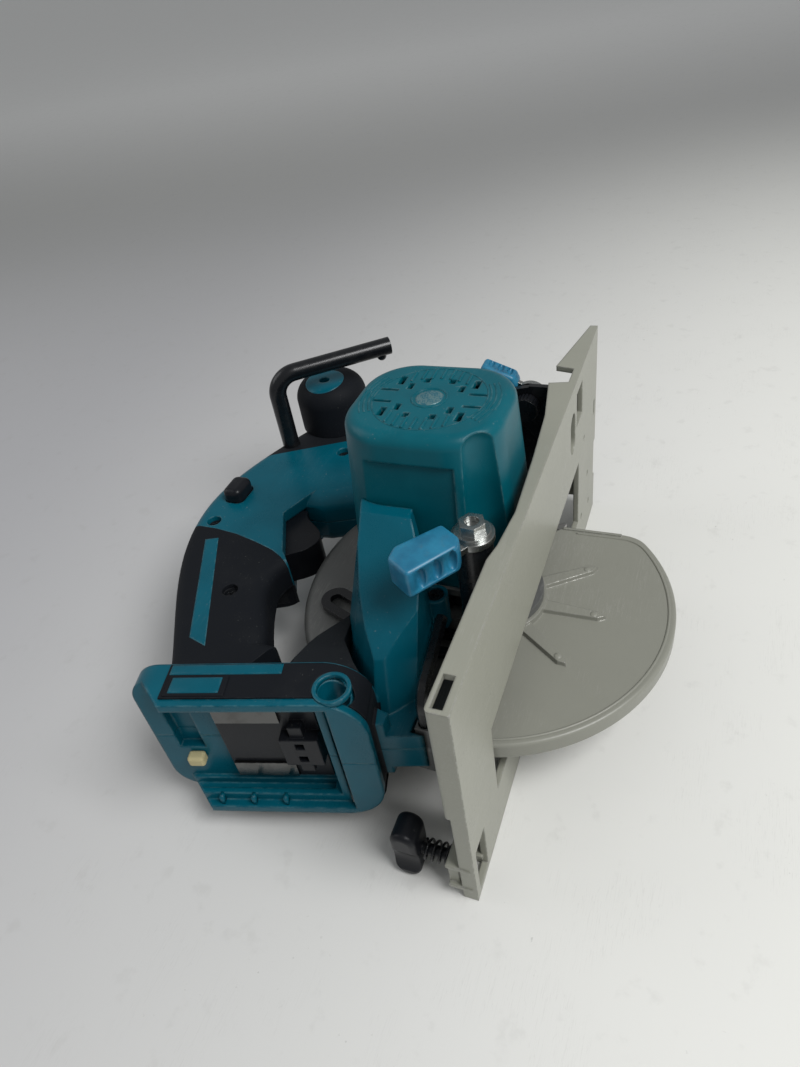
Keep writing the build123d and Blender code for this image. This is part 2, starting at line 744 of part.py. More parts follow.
top_of_half = handle_mid + handle_half
for side, name in ((1, "handle_right"), (-1, "handle_left")):
    with BuildPart() as half:
        extrude(handle_outline(), amount=side * handle_half)
        round_handle(half, side)
        prism(grip_zone, handle_mid - 60, handle_mid + 60, Mode.SUBTRACT)
        prism(grip_core, handle_mid, handle_mid + side * (handle_half - rubber_thick))
        if side > 0:
            block(foot_gap_x, foot_gap_y, (handle_mid, top_of_half + 1), Mode.SUBTRACT)
        else:
            grip_bevel()
        if side > 0:
            web = [plan_section(web_low_outline, guide_low + 4), plan_section(web_high_outline, web_high)]
            loft(web, ruled=True)
            slope_cut(web_slope)
            cover_room()
        extrude(holder_plane * holder_outline(), amount=-holder_deep)
        holder_end_cut()
        split(bisect_by=Plane.XY.offset(handle_mid), keep=Keep.TOP if side > 0 else Keep.BOTTOM)
        rod(seat_radius, handle_mid - 60, guide_low + 4, mode=Mode.SUBTRACT)
        tail_cut = (tail_high, 40) if side > 0 else (-40, tail_low)
        block((-115, -90), (-20, 17), tail_cut, Mode.SUBTRACT)
        if side > 0:
            prism(tail_plate, case_high + gap, tail_high)
            rod(6, guide_low + 10, web_boss_high, *web_screw)
            rod(screw_hole, guide_low + 10, web_boss_high, *web_screw, Mode.SUBTRACT)
            rod(4.2, web_boss_high - 3, web_boss_high + 5, *web_screw, Mode.SUBTRACT)
        holder_pocket(holder_width - 8, -30, 0, 4)
        holder_pocket(rail_opening, -24, 0, pocket_deep)
        holder_pocket(rail_space, -20, 7, 12)
        holder_block(latch_side, latch_up, (pocket_deep - 1, pocket_deep + latch_deep), Mode.SUBTRACT)
        band_face = holder_plane.offset(-band_from) * band_ring()
        extrude(band_face, amount=band_from - band_to, mode=Mode.SUBTRACT)
        rod(6.3, -60, 80, ring_x, ring_y, Mode.SUBTRACT)
        rod(8 + fit, eye_top - 1.7, 80, ring_x, ring_y, Mode.SUBTRACT)
        block((-15, 32), (106, 162), switch_z, Mode.SUBTRACT)
        lock_bar(0.5, 60, Mode.SUBTRACT)
        block((-100, -90), (48, 76), (handle_mid - 11, handle_mid + 11), Mode.SUBTRACT)
        rod(hook_radius + fit, handle_mid - 6, 60, hook_x, hook_y, Mode.SUBTRACT)
        for x, y in screw_spots:
            rod(2.1, handle_mid - 11, handle_mid + 14, x, y, Mode.SUBTRACT)
            rod(4.2, handle_mid + 12, 60, x, y, Mode.SUBTRACT)
    save(half, name)
    if side > 0:
        handle_right = half.part

# Rubber of the grip, one shell on each half
for side, name in ((1, "grip_rubber_right"), (-1, "grip_rubber_left")):
    with BuildPart() as grip_rubber:
        extrude(handle_outline(), amount=side * handle_half)
        round_handle(grip_rubber, side)
        prism(grip_zone, handle_mid - 60, handle_mid + 60, Mode.INTERSECT)
        prism(grip_core, handle_mid, handle_mid + side * (handle_half - rubber_thick), Mode.SUBTRACT)
        for x, y in screw_spots:
            rod(4.2, handle_mid - 60, handle_mid + 60, x, y, Mode.SUBTRACT)
        if side > 0:
            prism(inlay_outline, top_of_half - inlay_deep, 60, Mode.SUBTRACT)
        else:
            grip_bevel()
        block((-15, 32), (100, 162), switch_z, Mode.SUBTRACT)
        extrude(holder_plane * holder_outline(), amount=-holder_deep, mode=Mode.SUBTRACT)
    save(grip_rubber, name)

# Plain inlay strip in the right grip
with BuildPart() as grip_inlay:
    prism(inlay_outline, top_of_half - inlay_deep, top_of_half)
save(grip_inlay, "grip_inlay")

# Rubber over the neck between the holder and the motor, the offcuts left out
with BuildPart() as neck_block:
    prism(neck_outline, guide_low + 4, neck_high)
    slope_cut(neck_slope)
    add(handle_right, mode=Mode.SUBTRACT)
    extrude(holder_plane.offset(-band_from) * band_ring(), amount=band_from - band_to, mode=Mode.SUBTRACT)
    rod(seat_radius, 0, guide_low + 4, mode=Mode.SUBTRACT)
with BuildPart() as neck_rubber:
    add(neck_block.solids().sort_by(SortBy.VOLUME)[-1])
save(neck_rubber, "neck_rubber")

# Rubber bands on the battery holder's two sides
for side, name in ((1, "holder_band_right"), (-1, "holder_band_left")):
    with BuildPart() as holder_band:
        extrude(holder_plane.offset(-band_from) * band_ring(), amount=band_from - band_to)
        split(bisect_by=Plane.XY.offset(handle_mid), keep=Keep.TOP if side > 0 else Keep.BOTTOM)
        rod(8.2, -60, 80, ring_x, ring_y, Mode.SUBTRACT)
    save(holder_band, name)

# Ring bush in the holder's eye
with BuildPart() as holder_eye:
    rod(8, eye_top - 1.6, eye_top + 0.8, ring_x, ring_y)
    rod(6.3, eye_top - 2, eye_top + 2, ring_x, ring_y, Mode.SUBTRACT)
save(holder_eye, "holder_eye")

# Terminal block and its two bright plates in the battery holder
with BuildPart() as terminal_block:
    holder_block((-26, 26), (-20, 26), (11, pocket_deep))
    holder_block((-9, 9), (-20, -3), (5, 11))
    holder_block((-16, 16), (-14, -8), (6.5, 11))
    for u in (-4.5, 4.5):
        holder_block((u - 2, u + 2), (-13.5, -9.5), (4, 9), Mode.SUBTRACT)
save(terminal_block, "terminal_block")
with BuildPart() as terminal_plates:
    for u in (-20, 20):
        holder_block((u - 5, u + 5), (-4, 25), (9.6, 11))
save(terminal_plates, "terminal_plates")

# Small pale buffer by the rails
with BuildPart() as battery_buffer:
    holder_block((-17, -11), (39, 47), (8.5, pocket_deep))
    fillet(battery_buffer.edges(), 1.5)
save(battery_buffer, "battery_buffer")

# Motor controller in the neck
with BuildPart() as controller:
    block((-100, -90), (49, 75), (handle_mid - 11, guide_low + 3))
save(controller, "controller")

# Switch behind the trigger
with BuildPart() as switch_box:
    block((-12, 17), (142, 162), switch_z)
save(switch_box, "switch_box")

# Trigger
with BuildPart() as trigger:
    with BuildSketch(Plane.XY.offset(trigger_z[0])):
        with BuildLine():
            Polyline((-7, 111), (-12, 118), (-12, 135), (29, 135), (29, 119))
            Spline((29, 119), (20, 112), (13, 103.5), (6, 101), (-1, 104), (-7, 111))
        make_face()
    extrude(amount=trigger_z[1] - trigger_z[0])
    fillet(trigger.edges().filter_by(Axis.Z).sort_by(Axis.Y)[-2:], 2)
save(trigger, "trigger")

# Lock-off bar: pushed from either side of the handle
with BuildPart() as lock_off_lever:
    lock_bar(0, lock_half)
    for end in (0, -1):
        fillet(lock_off_lever.faces().sort_by(Axis.Z)[end].edges(), 3.5)
save(lock_off_lever, "lock_off_lever")


def front_grip_body():
    """The front grip's domed stub."""
    rod(front_grip_radius, top_of_half, front_grip_high, front_grip_x, front_grip_y)


# Front grip and its plain inlay
inlay_low = front_grip_high - 5.0
with BuildPart() as front_grip:
    front_grip_body()
    fillet(front_grip.faces().sort_by(Axis.Z)[-1].edges(), 13)
    rod(grip_cap_radius, inlay_low, 80, front_grip_x - grip_cap_back, front_grip_y, Mode.SUBTRACT)
save(front_grip, "front_grip")
with BuildPart() as front_grip_inlay:
    front_grip_body()
    fillet(front_grip_inlay.faces().sort_by(Axis.Z)[-1].edges(), 13)
    rod(grip_cap_radius - press, inlay_low, 80, front_grip_x - grip_cap_back, front_grip_y, Mode.INTERSECT)
    rod(3.4, inlay_low + 1, 80, front_grip_x - grip_cap_back, front_grip_y, Mode.SUBTRACT)
save(front_grip_inlay, "front_grip_inlay")

# Hook: a bent round bar that swings in the handle
hook_tip = (130.0, 97.5)
hook_reach = hypot(hook_tip[0] - hook_x, hook_tip[1] - hook_y)
hook_way = ((hook_tip[0] - hook_x) / hook_reach, (hook_tip[1] - hook_y) / hook_reach)
hook_bend = 13.0
with BuildPart() as hook:
    with BuildLine():
        rise = Line((hook_x, hook_y, handle_mid - 5), (hook_x, hook_y, hook_arm_z - hook_bend))
        bend_end = (hook_x + hook_way[0] * hook_bend, hook_y + hook_way[1] * hook_bend, hook_arm_z)
        TangentArc(rise @ 1, bend_end, tangent=(0, 0, 1))
        Line(bend_end, (*hook_tip, hook_arm_z))
    with BuildSketch(Plane(rise @ 0, z_dir=(0, 0, 1))):
        Circle(hook_radius)
    sweep()
    nub = (hook_tip[0] - hook_way[0] * 6, hook_tip[1] - hook_way[1] * 6, hook_arm_z - hook_radius)
    with Locations(nub):
        Sphere(3)
save(hook, "hook")

# Hex key in its clips
with BuildPart() as hex_key:
    key_line = Vector(*key_rear) - Vector(*key_front)
    key_turn = Vector(*key_rear) - key_line.normalized() * key_bend
    with BuildLine():
        Line(key_front, key_turn)
        TangentArc(key_turn, (key_rear[0], key_rear[1], key_z - key_bend), tangent=key_line)
        Line((key_rear[0], key_rear[1], key_z - key_bend), (key_rear[0], key_rear[1], case_high))
    with BuildSketch(Plane(key_front, z_dir=key_line)):
        RegularPolygon(key_flats / 2, 6, major_radius=False)
    sweep()
save(hex_key, "hex_key")

# Screws that close the handle
with BuildPart() as handle_screws:
    for x, y in screw_spots:
        rod(2, handle_mid - 10.5, handle_mid + 12, x, y)
        rod(3.9, handle_mid + 12, handle_mid + 14.5, x, y)
        with BuildSketch(Plane((x, y, handle_mid + 14.5))):
            Rectangle(4, 1)
            Rectangle(1, 4)
        extrude(amount=-1.2, mode=Mode.SUBTRACT)
    rod(screw_radius, guide_low + 11, web_boss_high - 3, *web_screw)
    rod(3.9, web_boss_high - 3, web_boss_high - 0.8, *web_screw)
    with BuildSketch(Plane((*web_screw, web_boss_high - 0.8))):
        Rectangle(4, 1)
        Rectangle(1, 4)
    extrude(amount=-1.2, mode=Mode.SUBTRACT)
save(handle_screws, "handle_screws")

# Pivot bolt of the depth setting, through the case's front lug
bracket_low = guide_low
bracket_high = guide_low + guide_thick
with BuildPart() as pivot_bolt:
    rod(pivot_radius, -6, bracket_high, pivot_x, pivot_y)
    rod(7, -10, -6, pivot_x, pivot_y)
    rod(7, bracket_high, bracket_high + 4, pivot_x, pivot_y)
save(pivot_bolt, "pivot_bolt")

# Front bracket: carries the base at the pivot and holds the bevel bolt
plate_x = quadrant_x + sheet + 0.4
with BuildPart() as front_bracket:
    prism(
        [(plate_x, -9), (plate_x, 10), (116, 15), (130, 14), (134, 5), (130, -4), (115, -21)]
        + [(112, -21), (112, -9)],
        bracket_low,
        bracket_high,
    )
    block((112, 115), (-21, -6.5), (-5, bracket_high))
    block((plate_x, plate_x + sheet), (-10, bevel_bolt_y + 6), (bracket_low, bevel_bolt_z + 6))
    rod(pivot_radius + fit, 0, 40, pivot_x, pivot_y, Mode.SUBTRACT)
    bar(hinge_pin_radius + fit, (100, bevel_y, 0), (130, bevel_y, 0), Mode.SUBTRACT)
    bolt_start = (quadrant_x - 10, bevel_bolt_y, bevel_bolt_z)
    bolt_end = (quadrant_x + 20, bevel_bolt_y, bevel_bolt_z)
    bar(bevel_bolt_radius + fit, bolt_start, bolt_end, Mode.SUBTRACT)
save(front_bracket, "front_bracket")

# Depth guide: slotted arc round the pivot, with its foot at the rear hinge
guide_radius = hypot(depth_bolt_x - pivot_x, depth_bolt_y - pivot_y)
guide_angle = degrees(atan2(depth_bolt_y - pivot_y, depth_bolt_x - pivot_x))
slot_spare = 0.4
slot_end_spare = 2.0
with BuildPart() as depth_guide:
    with BuildSketch(Plane.XY.offset(guide_low)):
        with BuildLine(mode=Mode.PRIVATE) as middle:
            sweep_angle = depth_most + slot_spare + slot_end_spare
            CenterArc((pivot_x, pivot_y), guide_radius, guide_angle + slot_spare, -sweep_angle)
        SlotArc(middle.edge(), guide_width)
        with BuildLine():
            Polyline((-41, -20.5), (-107.5, -20.5), (-107.5, -9), (-70, -5), (-50, -4), close=True)
        make_face()
        SlotArc(middle.edge(), 2 * depth_bolt_radius + 0.6, mode=Mode.SUBTRACT)
    extrude(amount=guide_thick)
    block((-107.5, -104.5), (-21, -9), (-5, guide_low + guide_thick))
    bar(hinge_pin_radius + fit, (-120, bevel_y, 0), (-95, bevel_y, 0), Mode.SUBTRACT)
save(depth_guide, "depth_guide")

# Depth bolt, its spacer, lever and nut
with BuildPart() as depth_bolt:
    rod(6, case_high - case_wall - 1.8, case_high - case_wall, depth_bolt_x, depth_bolt_y)
    bolt_top = depth_lever_low + sheet + bolt_in_nut
    rod(depth_bolt_radius, case_high - case_wall, bolt_top, depth_bolt_x, depth_bolt_y)
save(depth_bolt, "depth_bolt")
with BuildPart() as depth_spacer:
    rod(8, bracket_high + 0.2, depth_lever_low - 0.2, depth_bolt_x, depth_bolt_y)
    rod(depth_bolt_radius + fit, 0, 100, depth_bolt_x, depth_bolt_y, Mode.SUBTRACT)
save(depth_spacer, "depth_spacer")


def lever_plate(plane, reach):
    """A flat lever with a round eye, drawn along the plane's X axis."""
    with BuildSketch(plane, mode=Mode.PRIVATE) as face:
        Circle(9)
        with Locations((reach / 2, 0)):
            Rectangle(reach, 11)
        Circle(depth_bolt_radius + fit, mode=Mode.SUBTRACT)
    extrude(face.sketch, amount=sheet)


cover_under = 3.5


def lever_cover(plane, start, end, high):
    """A moulded finger cover round the end of a lever."""
    with BuildSketch(plane.offset(-cover_under), mode=Mode.PRIVATE) as face:
        with BuildLine():
            Polyline(
                (start, -6.5), (end - 6, -9), (end, -5), (end, 8), (start + 4, 9), (start, 5),
                close=True,
            )
        make_face()
    extrude(face.sketch, amount=cover_under + high)


lever_plane = Plane(
    origin=(depth_bolt_x, depth_bolt_y, depth_lever_low),
    x_dir=(cos(radians(depth_lever_angle)), sin(radians(depth_lever_angle)), 0),
    z_dir=(0, 0, 1),
)
with BuildPart() as depth_lever:
    lever_plate(lever_plane, 32)
save(depth_lever, "depth_lever")
with BuildPart() as depth_lever_cover:
    lever_cover(lever_plane, 10, 38, 10)
    fillet(depth_lever_cover.faces().sort_by(Axis.Z)[-1].edges(), 2)
    add(depth_lever.part, mode=Mode.SUBTRACT)
save(depth_lever_cover, "depth_lever_cover")


def flange_nut(plane):
    """A hex nut with its washer flange."""
    with BuildSketch(plane, mode=Mode.PRIVATE) as flange:
        Circle(nut_flange_radius)
    extrude(flange.sketch, amount=nut_flange_thick)
    with BuildSketch(plane, mode=Mode.PRIVATE) as hexagon:
        RegularPolygon(nut_flats / 2, 6, major_radius=False)
    extrude(hexagon.sketch, amount=nut_high)
    with BuildSketch(plane, mode=Mode.PRIVATE) as thread:
        Circle(depth_bolt_radius + fit)
    extrude(thread.sketch, amount=10, mode=Mode.SUBTRACT)


with BuildPart() as depth_nut:
    flange_nut(lever_plane.offset(sheet))
save(depth_nut, "depth_nut")

# Base: a folded plate with a rim all round, lowest beside the motor
rim_line = [
    (base_rear, sole_y), (base_front, sole_y), (base_front, -22.3), (98, -12.9), (96, -22.5), (82, -22.5),
    (80, -12.6), (49, -17.5), (15, -19.8), (-26, -21.6), (-48, -19.7), (-57, -17.8), (base_rear, -17.3),
]
sole_top = sole_y + sheet
left_lip = sole_top + 3.5
rule_x = (-129.0, -114.5)
rule_high = sole_top + 4.5
with BuildPart() as base_plate:
    prism(rim_line, base_left, base_right)
    fillet(base_plate.edges().filter_by(Axis.Z).sort_by(Axis.X)[:1], 2)
    inner_x = (base_rear + sheet, base_front - sheet)
    inner_z = (base_left + sheet, base_right - sheet)
    block(inner_x, (sole_top, 60), inner_z, Mode.SUBTRACT)
    block((base_rear - 1, base_front + 1), (left_lip, 60), (base_left - 1, 20), Mode.SUBTRACT)
    block((slot_rear, slot_front), (sole_y - 1, sole_top + 1), (slot_left, slot_right), Mode.SUBTRACT)
    block((84, 100), (sole_y - 1, sole_top + 1), (58, 78), Mode.SUBTRACT)
    block((-127, -115), (sole_y - 1, sole_top + 1), (-40, -10), Mode.SUBTRACT)
    block((68, 80), (sole_y - 1, sole_top + 1), (54, 66), Mode.SUBTRACT)
    for z in (54, 66):
        bar(6, (74, sole_y - 1, z), (74, sole_top + 1, z), Mode.SUBTRACT)
    block((138, 141.5), (sole_y - 1, sole_top + 1), (32, 42), Mode.SUBTRACT)
    block((base_front - 4, base_front + 1), (sole_y - 1, 0), (-17, 10), Mode.SUBTRACT)
    block(rule_x, (sole_top, rule_high), (base_right - sheet - 1, base_right + 1), Mode.SUBTRACT)
    block(rule_x, (sole_top, rule_high + 9), (base_left - 1, base_left + sheet + 1), Mode.SUBTRACT)
    for x_range in ((-112, -108.5), (-103.5, -100), (107, 111), (116, 120)):
        block(x_range, (sole_top - 1, bevel_y + hinge_ear_radius), (-hinge_ear_radius, hinge_ear_radius))
    for x_range in ((-120, -95), (100, 125)):
        bar(hinge_pin_radius + press, (x_range[0], bevel_y, 0), (x_range[1], bevel_y, 0), Mode.SUBTRACT)
    block((thumb_x - 7, thumb_x + 7), (rule_high + 0.4, -14), (thumb_z - 9, thumb_z + 9))
    for z in (thumb_z - 8, thumb_z + 8):
        block((thumb_x - 9, thumb_x - 5), (sole_top - 1, -14), (z - 1, z + 1))
        block((thumb_x + 6, thumb_x + 9), (sole_top - 1, -14), (z - 1, z + 1))
    bar(thumb_screw_radius + fit, (thumb_x, -40, thumb_z), (thumb_x, 0, thumb_z), Mode.SUBTRACT)
    for x, z in ((107.5, 35.7), (120.6, 1.4), (126.8, -24.6), (102, -18)):
        bar(2, (x, -40, z), (x, -20, z), Mode.SUBTRACT)
save(base_plate, "base_plate")

# Hinge pins of the bevel setting
with BuildPart() as hinge_pins:
    bar(hinge_pin_radius, (-113, bevel_y, 0), (-99, bevel_y, 0))
    bar(hinge_pin_radius, (106, bevel_y, 0), (121, bevel_y, 0))
save(hinge_pins, "hinge_pins")

# Bevel quadrant on the base, with the arc slot for the bevel bolt
bevel_radius = hypot(bevel_bolt_y - bevel_y, bevel_bolt_z)
bevel_angle = degrees(atan2(bevel_bolt_z, bevel_bolt_y - bevel_y))
with BuildPart() as bevel_quadrant:
    with BuildSketch(Plane.YZ.offset(quadrant_x)):
        with BuildLine(mode=Mode.PRIVATE) as arc:
            CenterArc((bevel_y, 0), bevel_radius, bevel_angle + 1, -bevel_most - 2)
        SlotArc(arc.edge(), 20)
        with BuildLine():
            Polyline((sole_top, 40), (sole_top, 83), (-2, 83), (8, 66), (-6, 50), close=True)
        make_face()
        SlotArc(arc.edge(), 2 * bevel_bolt_radius + 0.6, mode=Mode.SUBTRACT)
    extrude(amount=sheet)
save(bevel_quadrant, "bevel_quadrant")

# Bevel bolt with its knurled head, the lever, its cover and its nut
with BuildPart() as bevel_bolt:
    bar(bevel_bolt_radius, (quadrant_x - 1, bevel_bolt_y, bevel_bolt_z), (95, bevel_bolt_y, bevel_bolt_z))
    bar(6.5, (quadrant_x - 7, bevel_bolt_y, bevel_bolt_z), (quadrant_x - 0.4, bevel_bolt_y, bevel_bolt_z))
save(bevel_bolt, "bevel_bolt")
bevel_lever_angle = 24.0
bevel_plane = Plane(
    origin=(plate_x + sheet + 0.3, bevel_bolt_y, bevel_bolt_z),
    x_dir=(0, cos(radians(bevel_lever_angle)), sin(radians(bevel_lever_angle))),
    z_dir=(1, 0, 0),
)
with BuildPart() as bevel_lever:
    lever_plate(bevel_plane, 25)
save(bevel_lever, "bevel_lever")
with BuildPart() as bevel_lever_cover:
    lever_cover(bevel_plane, 9, 31, 6.5)
    fillet(bevel_lever_cover.faces().sort_by(Axis.X)[-1].edges(), 2)
    add(bevel_lever.part, mode=Mode.SUBTRACT)
save(bevel_lever_cover, "bevel_lever_cover")
with BuildPart() as bevel_nut:
    flange_nut(bevel_plane.offset(sheet))
save(bevel_nut, "bevel_nut")

# Thumb screw of the guide rule
thumb_low = 0.0
thumb_high = 12.0
thumb_round = 2.5
scoop_radius = 16.0
scoop_deep = 2.2
with BuildPart() as thumb_screw:
    bar(thumb_screw_radius, (thumb_x, rule_high - 0.5, thumb_z), (thumb_x, thumb_low + 1, thumb_z))
    thumb_face = (thumb_x - thumb_wide / 2, (thumb_low + thumb_high) / 2, thumb_z)
    with BuildSketch(Plane(thumb_face, x_dir=(0, 0, 1), z_dir=(1, 0, 0))):
        SlotOverall(thumb_long, thumb_high - thumb_low)
    extrude(amount=thumb_wide)
    for end in (0, -1):
        fillet(thumb_screw.faces().sort_by(Axis.X)[end].edges(), thumb_round)
    for side in (-1, 1):
        scoop_x = thumb_x + side * (thumb_wide / 2 + scoop_radius - scoop_deep)
        bar(scoop_radius, (scoop_x, thumb_low - 1, thumb_z - 3), (scoop_x, thumb_high + 1, thumb_z - 3),
            Mode.SUBTRACT)
save(thumb_screw, "thumb_screw")

# Spring between the thumb screw's head and its bridge, one unbroken coil
spring_turns = 4
spring_wire = 0.6
spring_coil = 4.2
spring_low = -13.2
spring_high = thumb_low - 0.8


def coil_point(turn):
    """A point on the spring's middle line and its direction."""
    angle = 2 * pi * turn
    rise = (spring_high - spring_low) / spring_turns
    point = Vector(
        thumb_x + spring_coil * cos(angle),
        spring_low + rise * turn,
        thumb_z + spring_coil * sin(angle),
    )
    way = Vector(-2 * pi * spring_coil * sin(angle), rise, 2 * pi * spring_coil * cos(angle))
    return point, way.normalized()


with BuildPart() as thumb_spring:
    with BuildLine():
        for quarter in range(4 * spring_turns):
            start, leave = coil_point(quarter / 4)
            end, arrive = coil_point((quarter + 1) / 4)
            chord = end - start
            a = 2 * (leave.dot(arrive) - 1)
            b = -2 * chord.dot(leave + arrive)
            c = chord.dot(chord)
            reach = (-b - sqrt(b * b - 4 * a * c)) / (2 * a)
            near = start + leave * reach
            far_side = end - arrive * reach
            middle_point = (near + far_side) / 2
            TangentArc(start, middle_point, tangent=leave)
            TangentArc(middle_point, end, tangent=far_side - near)
    first, first_way = coil_point(0)
    with BuildSketch(Plane(first, z_dir=first_way)):
        Circle(spring_wire)
    sweep()
spring_gap = (spring_high - spring_low) / spring_turns - 2 * spring_wire
print("thumb spring, least gap between turns, mm:", round(spring_gap, 2))
save(thumb_spring, "thumb_spring")

# Shaft lock: a push pin beside the gear chamber
lock_z = gear_low + 5.0
lock_angle = -20.0
lock_travel = 3.0
lock_start = polar(gear_module * gear_teeth / 2 + gear_module + lock_travel, lock_angle)
lock_end = polar(chamber_radius + 12, lock_angle)
with BuildPart() as shaft_lock:
    bar(2.5, (*lock_start, lock_z), (*lock_end, lock_z))
    bar(6, (*polar(chamber_radius + 5, lock_angle), lock_z), (*lock_end, lock_z))
save(shaft_lock, "shaft_lock")
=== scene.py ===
"""Looks of a cordless circular saw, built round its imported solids."""

import logging
from collections.abc import Callable
from dataclasses import dataclass
from enum import Enum
from math import atan2, cos, degrees, radians, sin, tau
from typing import TypeAlias

import bmesh
import bpy
from mathutils import Matrix, Vector

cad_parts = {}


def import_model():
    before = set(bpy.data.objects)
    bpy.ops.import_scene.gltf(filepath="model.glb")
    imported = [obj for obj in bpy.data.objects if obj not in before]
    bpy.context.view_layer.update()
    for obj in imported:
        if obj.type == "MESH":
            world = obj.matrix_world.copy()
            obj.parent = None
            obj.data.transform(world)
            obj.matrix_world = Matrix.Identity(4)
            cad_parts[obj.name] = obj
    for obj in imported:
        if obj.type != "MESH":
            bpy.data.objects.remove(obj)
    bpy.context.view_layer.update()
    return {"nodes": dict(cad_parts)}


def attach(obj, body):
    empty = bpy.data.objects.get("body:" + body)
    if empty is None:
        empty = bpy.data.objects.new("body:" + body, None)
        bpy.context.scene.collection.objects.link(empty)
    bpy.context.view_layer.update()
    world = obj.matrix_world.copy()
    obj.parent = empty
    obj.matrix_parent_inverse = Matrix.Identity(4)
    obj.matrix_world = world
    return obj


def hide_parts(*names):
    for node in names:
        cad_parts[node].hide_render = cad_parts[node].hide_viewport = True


MM = 0.001
LOG = logging.getLogger("saw")
Colour = tuple[float, float, float]
Flat = tuple[float, float]
Point = tuple[float, float, float]
Value: TypeAlias = "Wire | float"
Sockets = dict[str, float | tuple]
Piece = bpy.types.Object

HOLDER_FOOT: Flat = (-123.3, 63.0)
HOLDER_TILT = 15.0
UP = Vector((0.0, 0.0, 1.0))


class Body(Enum):
    """The moving bodies that the scene's own pieces ride on."""

    SAW = "saw"
    GUARD = "guard"
    TILT = "tilt_frame"
    DEPTH_LEVER = "depth_lever"
    BEVEL_LEVER = "bevel_lever"


class Slot(Enum):
    """The record's material slots; the inlay table names one for each inlay, but no piece is given it."""

    TEAL = "teal_plastic"
    BLACK = "black_plastic"
    COVER = "blue_cover"
    PAINT = "grey_paint"
    RUBBER = "black_rubber"
    BRIGHT = "bright_plate"


# Paler edge colour of the mouldings: partly rubbed wear, partly a painted highlight along the rounded edges.
PALE_WEAR_AND_PAINTED_HIGHLIGHT = (0.16, 0.30, 0.33)
DUST = (0.34, 0.34, 0.31)
BARE_METAL = (0.55, 0.54, 0.52)
RESIN = (0.24, 0.20, 0.15)
VINYL_SOIL = (0.10, 0.16, 0.19)
# Painted light at the vinyl cover's thin edges.
VINYL_PAINTED_EDGE_GLOW = (0.34, 0.55, 0.66)
FOIL_PALE = (0.12, 0.22, 0.235)
# Floor tones: painted shade, painted light, more painted shade further off, and painted light in the
# distance.
FLOOR_PAINTED_SHADE = (0.47, 0.47, 0.485)
FLOOR_PAINTED_LIGHT = (0.84, 0.84, 0.80)
FLOOR_DISTANT_PAINTED_SHADE = (0.38, 0.382, 0.375)
FLOOR_BACK_PAINTED_LIGHT = (0.88, 0.88, 0.87)
FLOOR_MARK = (0.30, 0.29, 0.27)
SURROUND = (0.97, 0.99, 1.0)


def sum_of(operation: str, turned: bool = False) -> Callable[..., "Wire"]:
    """Make a method that adds a Math node.

    Args:
        operation: The node's operation.
        turned: Whether the other value comes first.

    Returns:
        The method, which takes another value where the operation needs one.
    """
    def method(wire: "Wire", other: Value = 0.0) -> "Wire":
        """Return the node's result."""
        first, second = (other, wire) if turned else (wire, other)
        return wire.graph.node("ShaderNodeMath", {"operation": operation}, {0: first, 1: second})
    return method


class Wire:
    """An output socket that takes part in Python sums."""

    def __init__(self, graph: "Graph", socket: bpy.types.NodeSocket | None) -> None:
        """Keep the socket and the graph that it belongs to."""
        self.graph = graph
        self.socket = socket

    __add__ = __radd__ = sum_of("ADD")
    __sub__ = sum_of("SUBTRACT")
    __rsub__ = sum_of("SUBTRACT", turned=True)
    __mul__ = __rmul__ = sum_of("MULTIPLY")
    __truediv__ = sum_of("DIVIDE")
    __abs__ = sum_of("ABSOLUTE")
    root = sum_of("SQRT")
    most = sum_of("MAXIMUM")
    least = sum_of("MINIMUM")

    def __neg__(self) -> "Wire":
        """Return the value with its sign turned."""
        return self * -1.0


class Graph:
    """A node tree of either kind, filled through one method."""

    def __init__(self, tree: bpy.types.NodeTree) -> None:
        """Keep the tree."""
        self.tree = tree

    def node(self, kind: str, settings: dict[str, object] | None = None,
             inputs: dict[str | int, object] | None = None, out: str | int = 0) -> Wire:
        """Add a node.

        Args:
            kind: The node's type.
            settings: Its own settings, set first.
            inputs: Values or wires for its sockets, by name or place.
            out: The output that is wanted.

        Returns:
            That output, or an empty wire where the node has none.
        """
        made = self.tree.nodes.new(kind)
        for name, value in (settings or {}).items():
            setattr(made, name, value)
        for name, value in (inputs or {}).items():
            self.feed(made.inputs[name], value)
        return Wire(self, made.outputs[out] if len(made.outputs) else None)

    def feed(self, socket: bpy.types.NodeSocket, value: object) -> None:
        """Link a wire to an input, or set a plain value there.

        Args:
            socket: The input.
            value: The wire or the value; a colour gets its alpha here.
        """
        if isinstance(value, Wire):
            self.tree.links.new(value.socket, socket)
        elif socket.type == "RGBA":
            socket.default_value = (*value, 1.0)
        else:
            socket.default_value = value

    def vector(self, x: Value = 0.0, y: Value = 0.0, z: Value = 0.0) -> Wire:
        """Return a vector made of three values."""
        return self.node("ShaderNodeCombineXYZ", inputs={"X": x, "Y": y, "Z": z})

    def parts(self, vector: Wire) -> tuple[Wire, Wire, Wire]:
        """Return a vector's three values."""
        split = self.node("ShaderNodeSeparateXYZ", inputs={"Vector": vector}).socket.node
        return tuple(Wire(self, socket) for socket in split.outputs)


@dataclass
class Skin:
    """What a finish lays on a surface."""

    colour: Wire
    rough: Wire
    height: Wire
    relief: float
    rounded: Wire
    metal: Wire | float = 0.0


